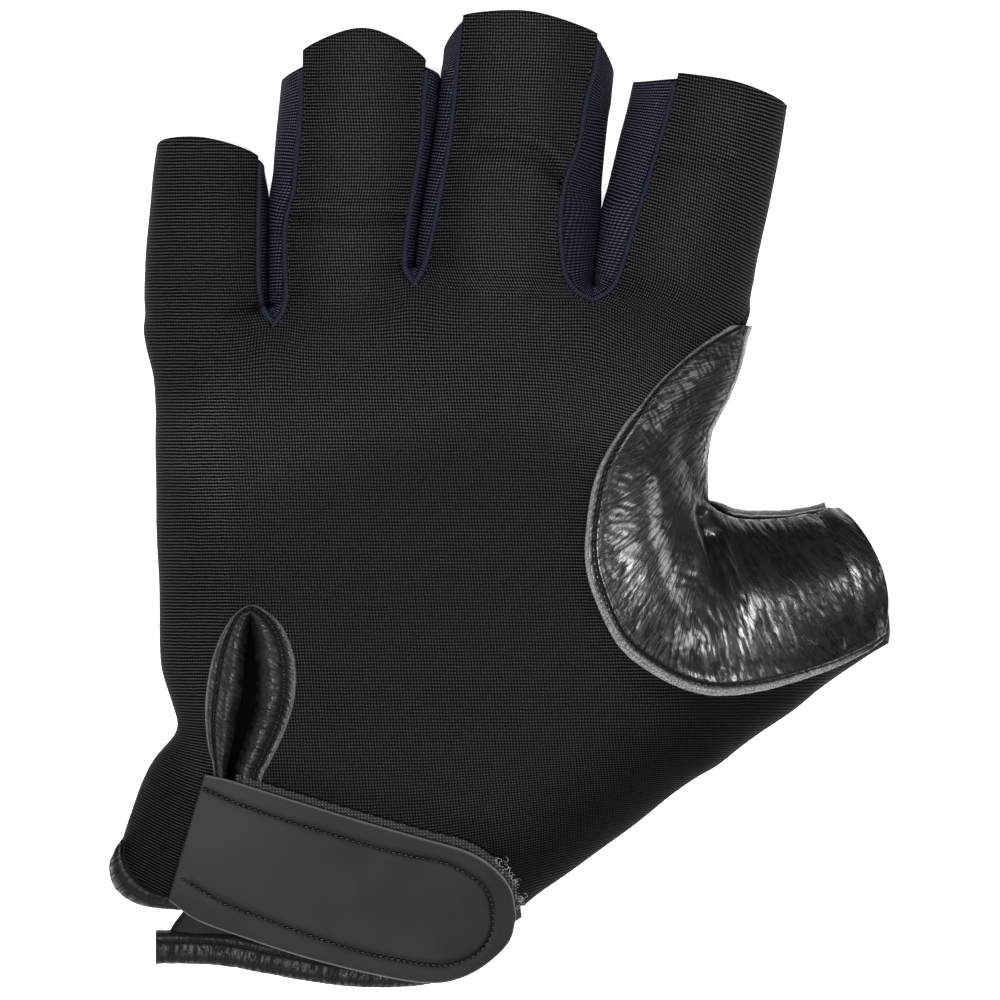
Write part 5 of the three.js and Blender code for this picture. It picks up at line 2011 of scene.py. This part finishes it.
hem_rows = hem_points.reshape(HEM_ROWS, HEM_SIDES, 3)
hem_stitch_line = hem_rows[16:175, HEM_SIDES // 3] + (0.0, 0.0, 0.12)
stitch("stitches_palm_hem", "binding_leather", hem_stitch_line, 1.35, 0.95, 0.15, seed=13)

PINCH = [(-56.2, -52.2), (-57.6, -58.0), (-59.6, -64.5), (-61.4, -71.0), (-62.6, -74.6)]
pinch = top_at(evenly(through(PINCH), 60), lift=0.12)
stitch("stitches_pinch", "knit_black", pinch, 1.0, 0.75, 0.13, lean=0.4, seed=17)

# %% Fibres of the loop tape
FUZZ_LINE = [(-0.6, -67.6), (1.6, -70.2), (3.4, -73.0), (4.0, -76.6), (3.6, -80.0)]
FUZZ_COUNT = 34
scatter = np.random.default_rng(23)
along_fuzz = evenly(through(FUZZ_LINE), 200)[scatter.integers(0, 200, FUZZ_COUNT)]
spread = scatter.normal(0.0, 0.38, (FUZZ_COUNT, 2))
fuzz_places = top_at(along_fuzz + spread, lift=2.1)
fuzz_places[:, 2] += 0.2 * scatter.random(FUZZ_COUNT)
fibres = fuzz.grow("loop_fibres", fuzz_places, Size=0.50 * MM, Thickness=0.08, Seed=5, Fibre=grey_fibre)
grown.append((fibres, "loop_tape"))

# %% [markdown]
# ## Tying the pieces to the construction
#
# Each finished piece takes the place of its plain solid, and stitches and rolls ride along with them.

# %% Finished pieces
finish_piece(back_piece, knit_black, "knit_black", "back_panel")
finish_piece(palm_piece, palm_hide, "palm_leather", "palm_panel")
for name, piece in wall_pieces.items():
    finish_piece(piece, knit_navy, "knit_navy", name)
finish_piece(leather_piece, thumb_hide, "gloss_leather", "thumb_leather")
finish_piece(welt_piece, roll_hide, "gloss_leather", "thumb_welt")
finish_piece(binding_piece, binding_hide, "binding_leather", "vent_binding")
finish_piece(tab_piece, tab_matte, "tab_matte", "closure_tab")
finish_piece(hook_piece, hook_tape, "hook_tape", "hook_patch")
finish_piece(loop_piece, loop_tape, "loop_tape", "loop_patch")
finish_piece(hem_piece, cuff_hide, "binding_leather", "cuff_binding_palm")
finish_piece(leaf_piece, cuff_hide, "binding_leather", "cuff_binding_left")
finish_piece(right_piece, cuff_hide, "binding_leather", "cuff_binding_right")
for piece, slot in grown:
    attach(piece, "root")

# %% [markdown]
# ## Floor and light
#
# A white floor and large soft lamps stand for the studio. The main lamp hangs almost overhead, a little
# towards the wrist, so the tops of the fingers and the thumb are light and their sides fall off. The dark
# pieces need strong light, and the floor then goes white.

# %% Studio


def soft_lamp(name, place, size, power):
    """A rectangular lamp that faces the middle of the glove."""
    lamp = bpy.data.lights.new(name, "AREA")
    lamp.shape = "RECTANGLE"
    lamp.size, lamp.size_y = size
    lamp.energy = power
    holder = bpy.data.objects.new(name, lamp)
    holder.location = place
    holder.rotation_euler = (Vector() - Vector(place)).to_track_quat("-Z", "Y").to_euler()
    bpy.context.scene.collection.objects.link(holder)


soft_lamp("overhead lamp", (-0.08, -0.22, 1.45), (0.60, 0.44), 28.0)
soft_lamp("left lamp", (-1.2, 0.3, 0.9), (0.6, 0.8), 1.5)
soft_lamp("right lamp", (1.32, 0.0, 1.37), (0.50, 0.62), 15.0)
room = bpy.data.worlds.new("room")
room.use_nodes = True
room.node_tree.nodes["Background"].inputs["Color"].default_value = (1.0, 1.0, 1.0, 1.0)
room.node_tree.nodes["Background"].inputs["Strength"].default_value = 0.05
bpy.context.scene.world = room

floor_mesh = bpy.data.meshes.new("floor")
FLOOR = 4.0
floor_corners = [(-FLOOR, -FLOOR, 0), (FLOOR, -FLOOR, 0), (FLOOR, FLOOR, 0), (-FLOOR, FLOOR, 0)]
floor_mesh.from_pydata(floor_corners, [], [(0, 1, 2, 3)])
floor = bpy.data.objects.new("floor", floor_mesh)
floor.location.z = -0.0002
bpy.context.scene.collection.objects.link(floor)
white = Paint("white floor")
floor_mesh.materials.append(
    white.set(
        Base_Color=(0.93, 0.93, 0.93, 1.0), Roughness=0.9, Specular_IOR_Level=0.1,
        Emission_Color=(1.0, 1.0, 1.0, 1.0), Emission_Strength=0.85,
    )
)
bpy.context.scene.view_settings.view_transform = "Standard"
